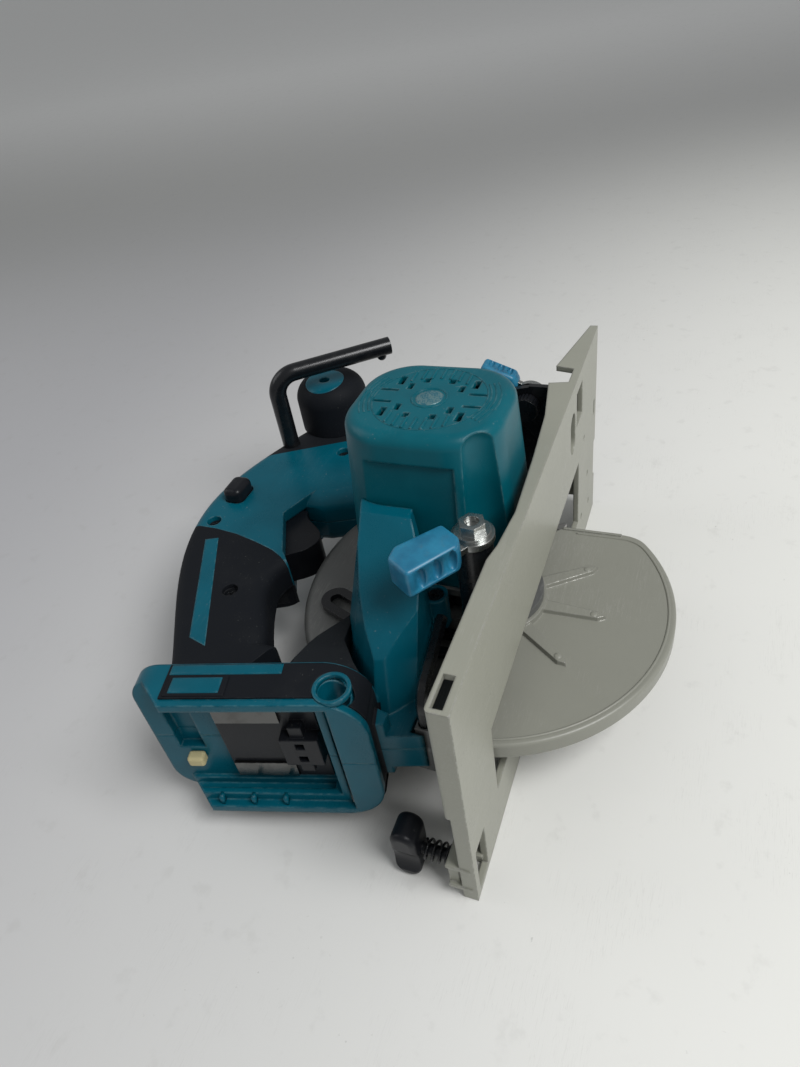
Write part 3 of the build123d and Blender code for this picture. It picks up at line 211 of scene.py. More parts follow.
class Surface(Graph):
    """The tree of one material, with the patterns that the finishes share."""

    def __init__(self, name: str) -> None:
        """Start a material.

        Args:
            name: The material's name.
        """
        self.material = bpy.data.materials.new(name)
        self.material.use_nodes = True
        super().__init__(self.material.node_tree)
        self.shader = self.tree.nodes["Principled BSDF"]
        self.place = self.node("ShaderNodeTexCoord", out="Object")

    def noise(self, size: float, detail: float = 3.0, stretch: Point = (1.0, 1.0, 1.0),
              turn: float = 0.0) -> Wire:
        """Add a cloud pattern.

        Args:
            size: Size of its features in millimetres.
            detail: Its finer octaves.
            stretch: How much it is squeezed along each axis.
            turn: Its turn about the vertical, in degrees.

        Returns:
            A value near one half.
        """
        place = self.place
        if stretch != (1.0, 1.0, 1.0) or turn:
            turned = (0.0, 0.0, radians(turn))
            place = self.node("ShaderNodeMapping", inputs={
                "Vector": place, "Rotation": turned, "Scale": stretch})
        return self.node("ShaderNodeTexNoise", inputs={
            "Vector": place, "Scale": 1.0 / (size * MM), "Detail": detail, "Roughness": 0.58})

    def step(self, value: Wire, low: float, high: float) -> Wire:
        """Return a smooth change from nought at one value to one at another."""
        return self.node("ShaderNodeMapRange", {"interpolation_type": "SMOOTHSTEP"},
                         {"Value": value, "From Min": low, "From Max": high})

    def mix(self, share: Value, first: Wire | Colour, second: Wire | Colour) -> Wire:
        """Return two colours mixed."""
        return self.node("ShaderNodeMix", {"data_type": "RGBA"},
                         {0: share, 6: first, 7: second}, out=2)

    def edges(self, radius: float) -> tuple[Wire, Wire]:
        """Round the surface's normal over its edges.

        Args:
            radius: Radius of the rounding in millimetres.

        Returns:
            The rounded normal, and a mask that is bright at the edges.
        """
        rounded = self.node("ShaderNodeBevel", {"samples": 6}, {"Radius": radius * MM})
        flat = self.node("ShaderNodeNewGeometry", out="Normal")
        along = self.node("ShaderNodeVectorMath", {"operation": "DOT_PRODUCT"},
                          {0: rounded, 1: flat}, out="Value")
        return rounded, self.step(1.0 - along, 0.015, 0.16)

    def upward(self) -> Wire:
        """Return a mask of the faces that look up in the piece's own frame."""
        normal = self.node("ShaderNodeTexCoord", out="Normal")
        return self.step(self.parts(normal)[2], 0.1, 0.9)

    def scratches(self, length: float, width: float, turn: float) -> Wire:
        """Return thin straight lines, as from rubbing.

        Args:
            length: Their length in millimetres.
            width: Their spacing in millimetres.
            turn: Their direction in degrees.

        Returns:
            A mask of the lines.
        """
        lines = self.noise(width, detail=2.0, stretch=(width / length, 1.0, 1.0), turn=turn)
        where = self.step(self.noise(length * 1.7, detail=2.0), 0.48, 0.62)
        return (1.0 - self.step(abs(lines - 0.5), 0.004, 0.02)) * where

    def dress(self, skin: Skin, constants: Sockets) -> None:
        """Join a skin to the shader.

        Args:
            skin: What varies over the surface.
            constants: Sockets with one value all over.
        """
        normal = self.node("ShaderNodeBump", inputs={
            "Height": skin.height, "Distance": skin.relief * MM, "Normal": skin.rounded})
        varied = {
            "Base Color": skin.colour, "Roughness": skin.rough, "Metallic": skin.metal, "Normal": normal}
        for name, value in (varied | constants).items():
            self.feed(self.shader.inputs[name], value)


@dataclass(frozen=True)
class Finish:
    """What every finish has; gleam is how strongly it reflects."""

    name: str
    gleam = 0.5

    def skin(self, surface: Surface) -> Skin:
        """Build what varies over the surface; each finish has its own."""
        raise NotImplementedError

    def constants(self) -> Sockets:
        """Return the shader values that are the same all over."""
        return {"Specular IOR Level": self.gleam}

    def make(self) -> bpy.types.Material:
        """Make the material on first use, with a prefix, since the frame's carry the names of slots.

        Returns:
            The material.
        """
        name = "finish_" + self.name
        known = bpy.data.materials.get(name)
        if known:
            return known
        surface = Surface(name)
        surface.dress(self.skin(surface), self.constants())
        return surface.material

    def coat(self, thing: Piece) -> None:
        """Give an object this finish alone.

        Args:
            thing: The object.
        """
        slots = thing.data.materials
        slots.clear()
        slots.append(self.make())


@dataclass(frozen=True)
class Moulded(Finish):
    """Hard moulded plastic with a fine grain, paler at its edges: partly rubbed wear, partly a painted
    highlight.
    """

    colour: Colour
    shade: Colour
    rough: float = 0.33
    grain: float = 0.45
    relief: float = 0.012
    edge: float = 1.0
    wear: float = 0.42
    scuffs: float = 0.07
    dust: float = 0.25
    gleam: float = 0.24
    pale: Colour = PALE_WEAR_AND_PAINTED_HIGHLIGHT

    def skin(self, surface: Surface) -> Skin:
        """Lay grain, faint clouding, scuffs, paler edges (rubbed wear and a painted highlight) and dust.

        Args:
            surface: The tree of the finish's material.

        Returns:
            The moulded plastic's skin.
        """
        cloud = surface.noise(34.0)
        grain = surface.noise(self.grain, detail=2.0)
        rounded, edge = surface.edges(self.edge)
        scuff = surface.scratches(length=26.0, width=1.6, turn=28.0) * self.scuffs
        # Paler rounded edges: partly rubbed wear, partly a painted highlight.
        rubbed = surface.step(edge * surface.noise(5.0, detail=4.0), 0.40, 0.62) * self.wear
        specks = surface.step(surface.noise(1.3), 0.66, 0.72) * surface.step(cloud, 0.4, 0.6)
        dust = specks * surface.upward() * self.dust
        colour = surface.mix(surface.step(cloud, 0.34, 0.66), self.shade, self.colour)
        colour = surface.mix((rubbed + scuff).least(1.0), colour, self.pale)
        colour = surface.mix(dust, colour, DUST)
        rough = self.rough + (cloud - 0.5) * 0.18 + (grain - 0.5) * 0.10 + dust * 0.4 + rubbed * 0.15
        return Skin(colour, rough, grain, self.relief, rounded)


@dataclass(frozen=True)
class Rubber(Finish):
    """Soft black overmould, dull, with dust caught in its grain."""

    colour: Colour
    dust: float = 0.4
    film: float = 0.03
    greying: float = 0.06
    rough: float = 0.62
    grain: float = 0.7
    relief: float = 0.05
    edge: float = 0.9
    gleam: float = 0.10

    def skin(self, surface: Surface) -> Skin:
        """Lay grain, dull patches, dust specks and greyed edges.

        Args:
            surface: The tree of the finish's material.

        Returns:
            The overmould's skin.
        """
        patch = surface.noise(22.0, detail=4.0)
        grain = surface.noise(self.grain)
        rounded, edge = surface.edges(self.edge)
        film = surface.step(patch, 0.45, 0.80) * surface.upward() * self.dust * self.film
        specks = surface.step(surface.noise(0.9), 0.67, 0.74) * self.dust
        specks = specks * surface.step(patch, 0.40, 0.60)
        greyed = surface.step(edge * surface.noise(4.0), 0.40, 0.65) * self.greying
        colour = surface.mix((film + greyed).least(1.0), self.colour, DUST)
        colour = surface.mix(specks * 0.7, colour, DUST)
        rough = self.rough + (patch - 0.5) * 0.25 + film * 0.5
        return Skin(colour, rough, grain, self.relief, rounded)


@dataclass(frozen=True)
class Paint(Finish):
    """Grey enamel on metal, scratched, worn bright at its edges."""

    colour: Colour
    rough: float = 0.42
    wear: float = 0.8
    edge: float = 0.5
    soiling: float = 0.2
    scratching: float = 0.16
    relief: float = 0.05
    grime: Colour = (0.16, 0.155, 0.13)

    def skin(self, surface: Surface) -> Skin:
        """Lay orange peel, grime, scratches and bare edges.

        Args:
            surface: The tree of the finish's material.

        Returns:
            The enamel's skin.
        """
        peel = surface.noise(1.6, detail=2.0)
        cloud = surface.noise(30.0, detail=4.0)
        rounded, edge = surface.edges(self.edge)
        lines = surface.scratches(length=34.0, width=1.2, turn=12.0)
        lines = lines + surface.scratches(length=20.0, width=0.9, turn=-48.0) * 0.6
        bare = surface.step(edge * surface.noise(3.0, detail=4.0), 0.46, 0.60) * self.wear
        soiled = surface.step(surface.noise(9.0, detail=5.0), 0.56, 0.76) * self.soiling
        colour = surface.mix(surface.step(cloud, 0.3, 0.7) * self.soiling, self.colour, self.grime)
        colour = surface.mix(soiled, colour, self.grime)
        colour = surface.mix((lines * self.scratching).least(1.0), colour, BARE_METAL)
        colour = surface.mix(bare, colour, BARE_METAL)
        rough = self.rough + (peel - 0.5) * 0.12 + soiled * 0.4 - lines * 0.08
        return Skin(colour, rough, peel, self.relief, rounded, bare * 0.9)


@dataclass(frozen=True)
class Metal(Finish):
    """Bare or plated metal with stains and brighter edges: rubbed metal, and on black steel partly a painted
    highlight.
    """

    colour: Colour
    stain: Colour
    rough: float = 0.32
    metal: float = 1.0
    stained: float = 0.5
    rubbing: float = 0.8
    relief: float = 0.012
    edge: float = 0.35
    bright: Colour = BARE_METAL

    def skin(self, surface: Surface) -> Skin:
        """Lay fine tool marks, stains and bright edges.

        Args:
            surface: The tree of the finish's material.

        Returns:
            The metal's skin.
        """
        marks = surface.noise(0.5, detail=2.0, stretch=(1.0, 1.0, 4.0))
        cloud = surface.noise(7.0, detail=5.0)
        rounded, edge = surface.edges(self.edge)
        stain = surface.step(cloud, 0.45, 0.72) * self.stained
        # Brighter edges: rubbed metal; the black steel's grey edges are partly a painted highlight.
        rubbed = surface.step(edge * surface.noise(2.5, detail=4.0), 0.42, 0.60) * self.rubbing
        colour = surface.mix(stain, self.colour, self.stain)
        colour = surface.mix(rubbed, colour, self.bright)
        rough = self.rough + (marks - 0.5) * 0.16 + stain * 0.25
        return Skin(colour, rough, marks, self.relief, rounded, self.metal)


@dataclass(frozen=True)
class BladeSteel(Finish):
    """Ground steel with rings round the blade's axis."""

    colour: Colour
    rough: float = 0.26
    ring_pitch: float = 0.25
    film: float = 0.35
    relief: float = 0.01
    edge: float = 0.2

    def skin(self, surface: Surface) -> Skin:
        """Lay grinding rings, resin film and a rounded edge.

        Args:
            surface: The tree of the finish's material.

        Returns:
            The blade's skin.
        """
        x, y, _ = surface.parts(surface.place)
        radius = (x * x + y * y).root()
        rings = surface.node("ShaderNodeTexNoise", {"noise_dimensions": "1D"}, {
            "W": radius, "Scale": 1.0 / (self.ring_pitch * MM), "Detail": 2.0})
        film = surface.step(surface.noise(24.0, detail=4.0), 0.45, 0.7) * self.film
        rounded, _ = surface.edges(self.edge)
        colour = surface.mix(film, self.colour, RESIN)
        rough = self.rough + (rings - 0.5) * 0.2 + film * 0.3
        return Skin(colour, rough, rings, self.relief, rounded, 1.0)


@dataclass(frozen=True)
class SoftCover(Finish):
    """Cloudy light blue vinyl, soft and slightly see-through."""

    colour: Colour
    deep: Colour
    rough: float = 0.36
    soiling: float = 0.25
    painted_edge_glow: float = 0.25
    relief: float = 0.02
    edge: float = 0.5
    depth: float = 2.5

    def skin(self, surface: Surface) -> Skin:
        """Lay clouding, soiling, a painted glow of light at the thin edges and a fine grain.

        Args:
            surface: The tree of the finish's material.

        Returns:
            The vinyl's skin.
        """
        cloud = surface.noise(9.0, detail=4.0)
        grain = surface.noise(0.8, detail=2.0)
        rounded, edge = surface.edges(self.edge)
        soiled = surface.step(surface.noise(4.0, detail=4.0), 0.56, 0.72) * self.soiling
        colour = surface.mix(surface.step(cloud, 0.3, 0.7), self.deep, self.colour)
        colour = surface.mix(soiled, colour, VINYL_SOIL)
        # Paler edges: painted light, as if shining through the thin vinyl.
        colour = surface.mix(edge * self.painted_edge_glow, colour, VINYL_PAINTED_EDGE_GLOW)
        rough = self.rough + (cloud - 0.5) * 0.2 + soiled * 0.3
        return Skin(colour, rough, grain, self.relief, rounded)

    def constants(self) -> Sockets:
        """Return the light that goes into the vinyl."""
        return {
            "Subsurface Weight": 0.25,
            "Subsurface Radius": (0.3, 0.8, 1.0),
            "Subsurface Scale": self.depth * MM,
        }


@dataclass(frozen=True)
class Foil(Finish):
    """A rubbed metal foil disc, speckled with the plastic under it."""

    under: Colour
    rough: float = 0.55
    relief: float = 0.06
    edge: float = 0.3

    def skin(self, surface: Surface) -> Skin:
        """Lay the speckle.

        Args:
            surface: The tree of the finish's material.

        Returns:
            The foil's skin.
        """
        grain = surface.noise(0.55, detail=4.0)
        patch = surface.noise(3.0)
        rounded, _ = surface.edges(self.edge)
        left = surface.step(grain + (patch - 0.5) * 0.5, 0.40, 0.56)
        colour = surface.mix(left, self.under, FOIL_PALE)
        return Skin(colour, self.rough - left * 0.2, grain, self.relief, rounded, left * 0.3)


@dataclass(frozen=True)
class Winding(Finish):
    """Lacquered copper wire between steel laminations."""

    wire: Colour
    sheet: Colour
    rough: float = 0.3
    metal: float = 0.8
    relief: float = 0.25
    edge: float = 0.4

    def skin(self, surface: Surface) -> Skin:
        """Lay wires along the axis and laminations across it.

        Args:
            surface: The tree of the finish's material.

        Returns:
            The winding's skin.
        """
        wires = surface.noise(1.1, detail=1.0, stretch=(1.0, 1.0, 0.06))
        sheets = surface.noise(0.6, detail=1.0, stretch=(0.05, 0.05, 1.0))
        rounded, _ = surface.edges(self.edge)
        colour = surface.mix(surface.step(wires, 0.4, 0.6), self.sheet, self.wire)
        return Skin(colour, self.rough + sheets * 0.25, wires, self.relief, rounded, self.metal)


@dataclass(frozen=True)
class HandleShell(Finish):
    """The handle half: hard plastic with soft zones moulded onto it, at places in millimetres."""

    shell: Moulded
    soft: Rubber
    nose_slope: Flat = (0.886, 0.4625)
    nose_from: float = 136.4
    end: Flat = (-46.5, -43.7)
    ring: Flat = (3.4, 20.9)
    under: Flat = (-92.2, -9.0)
    under_top: float = 11.3
    under_edge: float = 84.0
    under_slope: float = 0.2
    hole_centre: Flat = (-47.0, 125.0)
    hole_radius: float = 5.5

    def zones(self, surface: Surface) -> Wire:
        """Mark the soft nose, the holder's closed end, the underside and a screw hole.

        Args:
            surface: The material that the mask is for.

        Returns:
            One on the soft zones.
        """
        def past(value: Wire, place: float, blur: float = 0.2) -> Wire:
            """Return one where a value is past a place."""
            return surface.step(value, place * MM, (place + blur) * MM)

        x, y, z = surface.parts(surface.place)
        nose = past(x * self.nose_slope[0] + y * self.nose_slope[1], self.nose_from, 0.4)
        lean = radians(HOLDER_TILT)
        ahead = x - HOLDER_FOOT[0] * MM
        above = y - HOLDER_FOOT[1] * MM
        climb = above * cos(lean) - ahead * sin(lean)
        depth = ahead * cos(lean) + above * sin(lean)
        end = past(climb, self.end[0]) * (1.0 - past(climb, self.end[1], 0.3))
        ring = past(depth, self.ring[0]) * (1.0 - past(depth, self.ring[1]))
        under = (1.0 - past(z, self.under_top, 0.3)) * past(y + x * self.under_slope, self.under_edge, 0.4)
        under = under * (1.0 - past(x, self.under[1])) * past(x, self.under[0])
        across = x - self.hole_centre[0] * MM
        up = y - self.hole_centre[1] * MM
        hole = 1.0 - past((across * across + up * up).root(), self.hole_radius, 0.3)
        return nose.most(end * ring).most(under).most(hole)

    def skin(self, surface: Surface) -> Skin:
        """Join both skins, parted by the zones.

        Args:
            surface: The tree of the finish's material.

        Returns:
            The handle's skin.
        """
        hard = self.shell.skin(surface)
        soft = self.soft.skin(surface)
        zone = self.zones(surface)
        colour = surface.mix(zone, hard.colour, soft.colour)
        rough = hard.rough * (1.0 - zone) + soft.rough * zone
        height = hard.height * (1.0 - zone) + soft.height * zone
        return Skin(colour, rough, height, self.shell.relief, hard.rounded)

    def constants(self) -> Sockets:
        """Return the hard plastic's values."""
        return self.shell.constants()


TEAL = Moulded("teal_moulding", (0.0, 0.096, 0.142), (0.0, 0.082, 0.122), rough=0.30, edge=1.8)
TEAL_COVER = Moulded("teal_cover_moulding", (0.0, 0.104, 0.138), (0.0, 0.088, 0.118),
                     grain=0.6, relief=0.03, wear=0.6, edge=1.6)
BLACK_RUBBER = Rubber("black_rubber", (0.0085, 0.0100, 0.0130))
DUSTY_RUBBER = Rubber("dusty_rubber", (0.0115, 0.0135, 0.016), dust=1.0, relief=0.08)
HANDLE = HandleShell("handle_moulding", TEAL, BLACK_RUBBER)
BLACK_PLASTIC = Moulded("black_moulding", (0.009, 0.010, 0.013), (0.006, 0.007, 0.010),
                        wear=0.10, dust=0.15, pale=(0.08, 0.085, 0.09))
CAST_GREY = Paint("cast_grey", (0.105, 0.108, 0.105), rough=0.36, wear=0.2, soiling=0.1,
                  grime=(0.06, 0.06, 0.058))
BASE_PAINT = Paint("base_enamel", (0.295, 0.298, 0.250), rough=0.36, edge=1.3, soiling=0.08)
GUARD_PAINT = Paint("guard_enamel", (0.25, 0.252, 0.216), rough=0.34, wear=0.5, edge=0.9, soiling=0.07)
STEEL = Metal("bright_steel", (0.50, 0.50, 0.49), (0.20, 0.18, 0.15))
ZINC = Metal("zinc_plate", (0.44, 0.45, 0.44), (0.12, 0.12, 0.11), rough=0.26)
# The black steel's grey edges are partly rubbed oxide, partly a painted highlight.
BLACK_STEEL = Metal("black_oxide_steel", (0.006, 0.007, 0.009), (0.014, 0.014, 0.014),
                    rough=0.24, metal=0.1, bright=(0.08, 0.08, 0.08))
BLADE_STEEL = BladeSteel("blade_steel", (0.46, 0.46, 0.45))
# The contacts are darkened to paint in the dark reflection of the pocket they face.
BRIGHT = Metal("contact_painted_dark_reflection", (0.15, 0.15, 0.145), (0.08, 0.075, 0.07), rough=0.14, stained=0.4)
PALE_RUBBER = Rubber("pale_rubber", (0.52, 0.46, 0.26), dust=0.3, rough=0.5)
COVER = SoftCover("blue_vinyl", (0.020, 0.205, 0.34), (0.012, 0.140, 0.25))
FOIL = Foil("rubbed_foil", TEAL.colour)
COPPER = Winding("copper_winding", (0.42, 0.17, 0.07), (0.20, 0.19, 0.18))

NODE_FINISH: dict[Finish, tuple[str, ...]] = {
    TEAL: ("grip_inlay", "holder_eye", "front_grip_inlay"),
    TEAL_COVER: ("motor_cover",),
    HANDLE: ("handle_right", "handle_left"),
    BLACK_RUBBER: ("grip_rubber_right", "grip_rubber_left", "holder_band_right", "holder_band_left",
                   "front_grip", "guard_stop"),
    DUSTY_RUBBER: ("neck_rubber",),
    BLACK_PLASTIC: ("trigger", "lock_off_lever", "terminal_block", "guard_lever", "shaft_lock",
                    "thumb_screw", "controller", "switch_box", "fan"),
    BLACK_STEEL: ("hook", "hex_key", "front_bracket", "depth_guide", "bevel_quadrant",
                  "handle_screws", "depth_spacer", "thumb_spring", "bevel_bolt"),
    BASE_PAINT: ("base_plate",),
    GUARD_PAINT: ("lower_guard",),
    CAST_GREY: ("blade_case", "bearing_box"),
    ZINC: ("depth_nut", "depth_lever", "depth_bolt", "bevel_lever", "bevel_nut", "pivot_bolt",
           "hinge_pins", "blade_bolt", "inner_flange", "outer_flange", "box_screws"),
    STEEL: ("spindle", "spindle_gear", "rotor_shaft", "rotor_core", "main_bearing", "end_bearing",
            "motor_bearings", "guard_ring"),
    BLADE_STEEL: ("blade",),
    COPPER: ("stator",),
    PALE_RUBBER: ("battery_buffer",),
    BRIGHT: ("terminal_plates",),
}


def show(thing: Piece) -> Piece:
    """Put an object into the scene and return it."""
    bpy.context.scene.collection.objects.link(thing)
    return thing


def link(name: str, mesh: bpy.types.Mesh, smooth: bool = True) -> Piece:
    """Make an object of a mesh.

    Args:
        name: The new object's name.
        mesh: Its mesh.
        smooth: Whether its faces are shaded smooth.

    Returns:
        The object, at the origin.
    """
    for face in mesh.polygons:
        face.use_smooth = smooth
    return show(bpy.data.objects.new(name, mesh))


def own(piece: Piece, body: Body, finish: Finish | None = None) -> None:
    """Give a piece its body and its finish, and report it.

    Args:
        piece: The piece.
        body: The body that it rides on.
        finish: Its finish, where its mesh has none yet.
    """
    if finish:
        finish.coat(piece)
    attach(piece, body.value)
    LOG.info("%s rides on %s, %d faces", piece.name, body.value, len(piece.data.polygons))


def applied(host: Piece, name: str) -> Piece:
    """Turn an object with modifiers into a plain one.

    Args:
        host: The object, which is removed.
        name: The plain object's name.

    Returns:
        The plain object.
    """
    evaluated = host.evaluated_get(bpy.context.evaluated_depsgraph_get())
    mesh = bpy.data.meshes.new_from_object(evaluated)
    host.modifiers.clear()
    bpy.data.objects.remove(host)
    mesh.name = name
    return show(bpy.data.objects.new(name, mesh))


def placing(origin: Point, along: Vector, up: Vector) -> Matrix:
    """Return the way from a plane in millimetres to the saw's frame in metres."""
    turn = Matrix((along, up.cross(along), up)).transposed().to_4x4()
    return Matrix.Scale(MM, 4) @ Matrix.Translation(origin) @ turn


def meshed(form: bmesh.types.BMesh, place: Matrix, name: str) -> bpy.types.Mesh:
    """Turn a form into a mesh.

    Args:
        form: The form, which is freed.
        place: The matrix that puts it in its place.
        name: The mesh's name.

    Returns:
        The mesh.
    """
    bmesh.ops.transform(form, matrix=place, verts=form.verts)
    mesh = bpy.data.meshes.new(name)
    form.to_mesh(mesh)
    form.free()
    return mesh


class Recipe(Graph):
    """A Geometry Nodes tree with named sizes, grown into a plain mesh."""

    def __init__(self, name: str) -> None:
        """Start a tree with one output.

        Args:
            name: The tree's name, which the piece takes too.
        """
        super().__init__(bpy.data.node_groups.new(name, "GeometryNodeTree"))
        self.name = name
        self.values: dict[str, float] = {}
        self.tree.interface.new_socket("Geometry", in_out="OUTPUT", socket_type="NodeSocketGeometry")

    def sizes(self, **named: float) -> list[Wire]:
        """Add named inputs.

        Args:
            named: Each input's value, in metres, radians or a whole number.

        Returns:
            The inputs, in their order.
        """
        for label, value in named.items():
            kind = "NodeSocketInt" if isinstance(value, int) else "NodeSocketFloat"
            socket = self.tree.interface.new_socket(label, in_out="INPUT", socket_type=kind)
            self.values[socket.identifier] = value
        return [self.node("NodeGroupInput", out=label) for label in named]

    def bead(self, path: Wire, radius: Value) -> Wire:
        """Return a round bead along a curve."""
        ring = self.node("GeometryNodeCurvePrimitiveCircle", inputs={"Resolution": 10, "Radius": radius})
        return self.node("GeometryNodeCurveToMesh", inputs={
            "Curve": path, "Profile Curve": ring, "Fill Caps": True})

    def bar(self, length: Value, radius: Value, axis: str) -> Wire:
        """Return a round bar about the origin, along one axis.

        Args:
            length: Its length.
            radius: Its radius.
            axis: x, y or z.

        Returns:
            The bar's mesh.
        """
        half = length / 2.0
        ends = [self.vector(**{axis: end}) for end in (-half, half)]
        line = self.node("GeometryNodeCurvePrimitiveLine", inputs={"Start": ends[0], "End": ends[1]})
        return self.bead(line, radius)

    def ball(self, radius: Value, form: Point, rings: int) -> Wire:
        """Add a ball about the origin.

        Args:
            radius: Its radius.
            form: How much it is stretched along each axis.
            rings: Its rows of faces.

        Returns:
            The ball's mesh.
        """
        even = self.node("GeometryNodeMeshUVSphere", inputs={
            "Segments": 24, "Rings": rings, "Radius": radius})
        return self.node("GeometryNodeTransform", inputs={"Geometry": even, "Scale": form})

    def spread(self, points: Wire, shape: Wire) -> Wire:
        """Return a shape at each point."""
        return self.node("GeometryNodeInstanceOnPoints", inputs={"Points": points, "Instance": shape})

    def moved(self, geometry: Wire, shift: Point, turn: Point = (0.0, 0.0, 0.0)) -> Wire:
        """Return geometry turned in degrees and shifted in millimetres."""
        return self.node("GeometryNodeTransform", inputs={
            "Geometry": geometry, "Translation": tuple(c * MM for c in shift),
            "Rotation": tuple(radians(c) for c in turn)})

    def join(self, shapes: list[Wire]) -> Wire:
        """Put geometries together.

        Args:
            shapes: The geometries.

        Returns:
            All of them as one.
        """
        whole = self.node("GeometryNodeJoinGeometry")
        for shape in shapes:
            self.feed(whole.socket.node.inputs[0], shape)
        return whole

    def grow(self, geometry: Wire, finish: Finish) -> Piece:
        """Close the tree and make its mesh.

        Args:
            geometry: What the tree made.
            finish: The finish of the mesh.

        Returns:
            A plain object.
        """
        real = self.node("GeometryNodeRealizeInstances", inputs={"Geometry": geometry})
        smooth = self.node("GeometryNodeSetShadeSmooth", inputs={"Geometry": real})
        dressed = self.node("GeometryNodeSetMaterial", inputs={
            "Geometry": smooth, "Material": finish.make()})
        self.node("NodeGroupOutput", inputs={"Geometry": dressed})
        host = link(self.name + "_host", bpy.data.meshes.new(self.name + "_host"))
        modifier = host.modifiers.new("recipe", "NODES")
        modifier.node_group = self.tree
        for identifier, value in self.values.items():
            modifier[identifier] = value
        return applied(host, self.name)


@dataclass
class Plate:
    """A flat closed outline with thickness and rounded edges, in its own plane."""

    origin: Point
    along: Vector
    up: Vector
    outline: list[Flat]
    low: float
    high: float
    rounding: float

    def mesh(self, name: str, segments: int = 3) -> bpy.types.Mesh:
        """Build the plate.

        Args:
            name: The mesh's name.
            segments: Steps of the rounding.

        Returns:
            The mesh, in metres and in its place.
        """
        form = bmesh.new()
        lower = [form.verts.new((x, y, self.low)) for x, y in self.outline]
        upper = [form.verts.new((x, y, self.high)) for x, y in self.outline]
        form.faces.new(reversed(lower))
        form.faces.new(upper)
        for here in range(len(self.outline)):
            after = (here + 1) % len(self.outline)
            form.faces.new((lower[here], lower[after], upper[after], upper[here]))
        bmesh.ops.recalc_face_normals(form, faces=form.faces)
        bmesh.ops.bevel(form, geom=form.edges[:] + form.verts[:], offset=self.rounding,
                        segments=segments, profile=0.5, affect="EDGES", clamp_overlap=True)
        return meshed(form, placing(self.origin, self.along, self.up), name)


def box_outline(left: float, right: float, low: float, high: float) -> list[Flat]:
    """Return a rectangle's corners in turn."""
    return [(left, low), (right, low), (right, high), (left, high)]


def arc(centre: Flat, radius: float, start: float, end: float, steps: int) -> list[Flat]:
    """Return points on an arc between two angles in degrees."""
    turns = [radians(start + (end - start) * number / steps) for number in range(steps + 1)]
    return [(centre[0] + radius * cos(turn), centre[1] + radius * sin(turn)) for turn in turns]


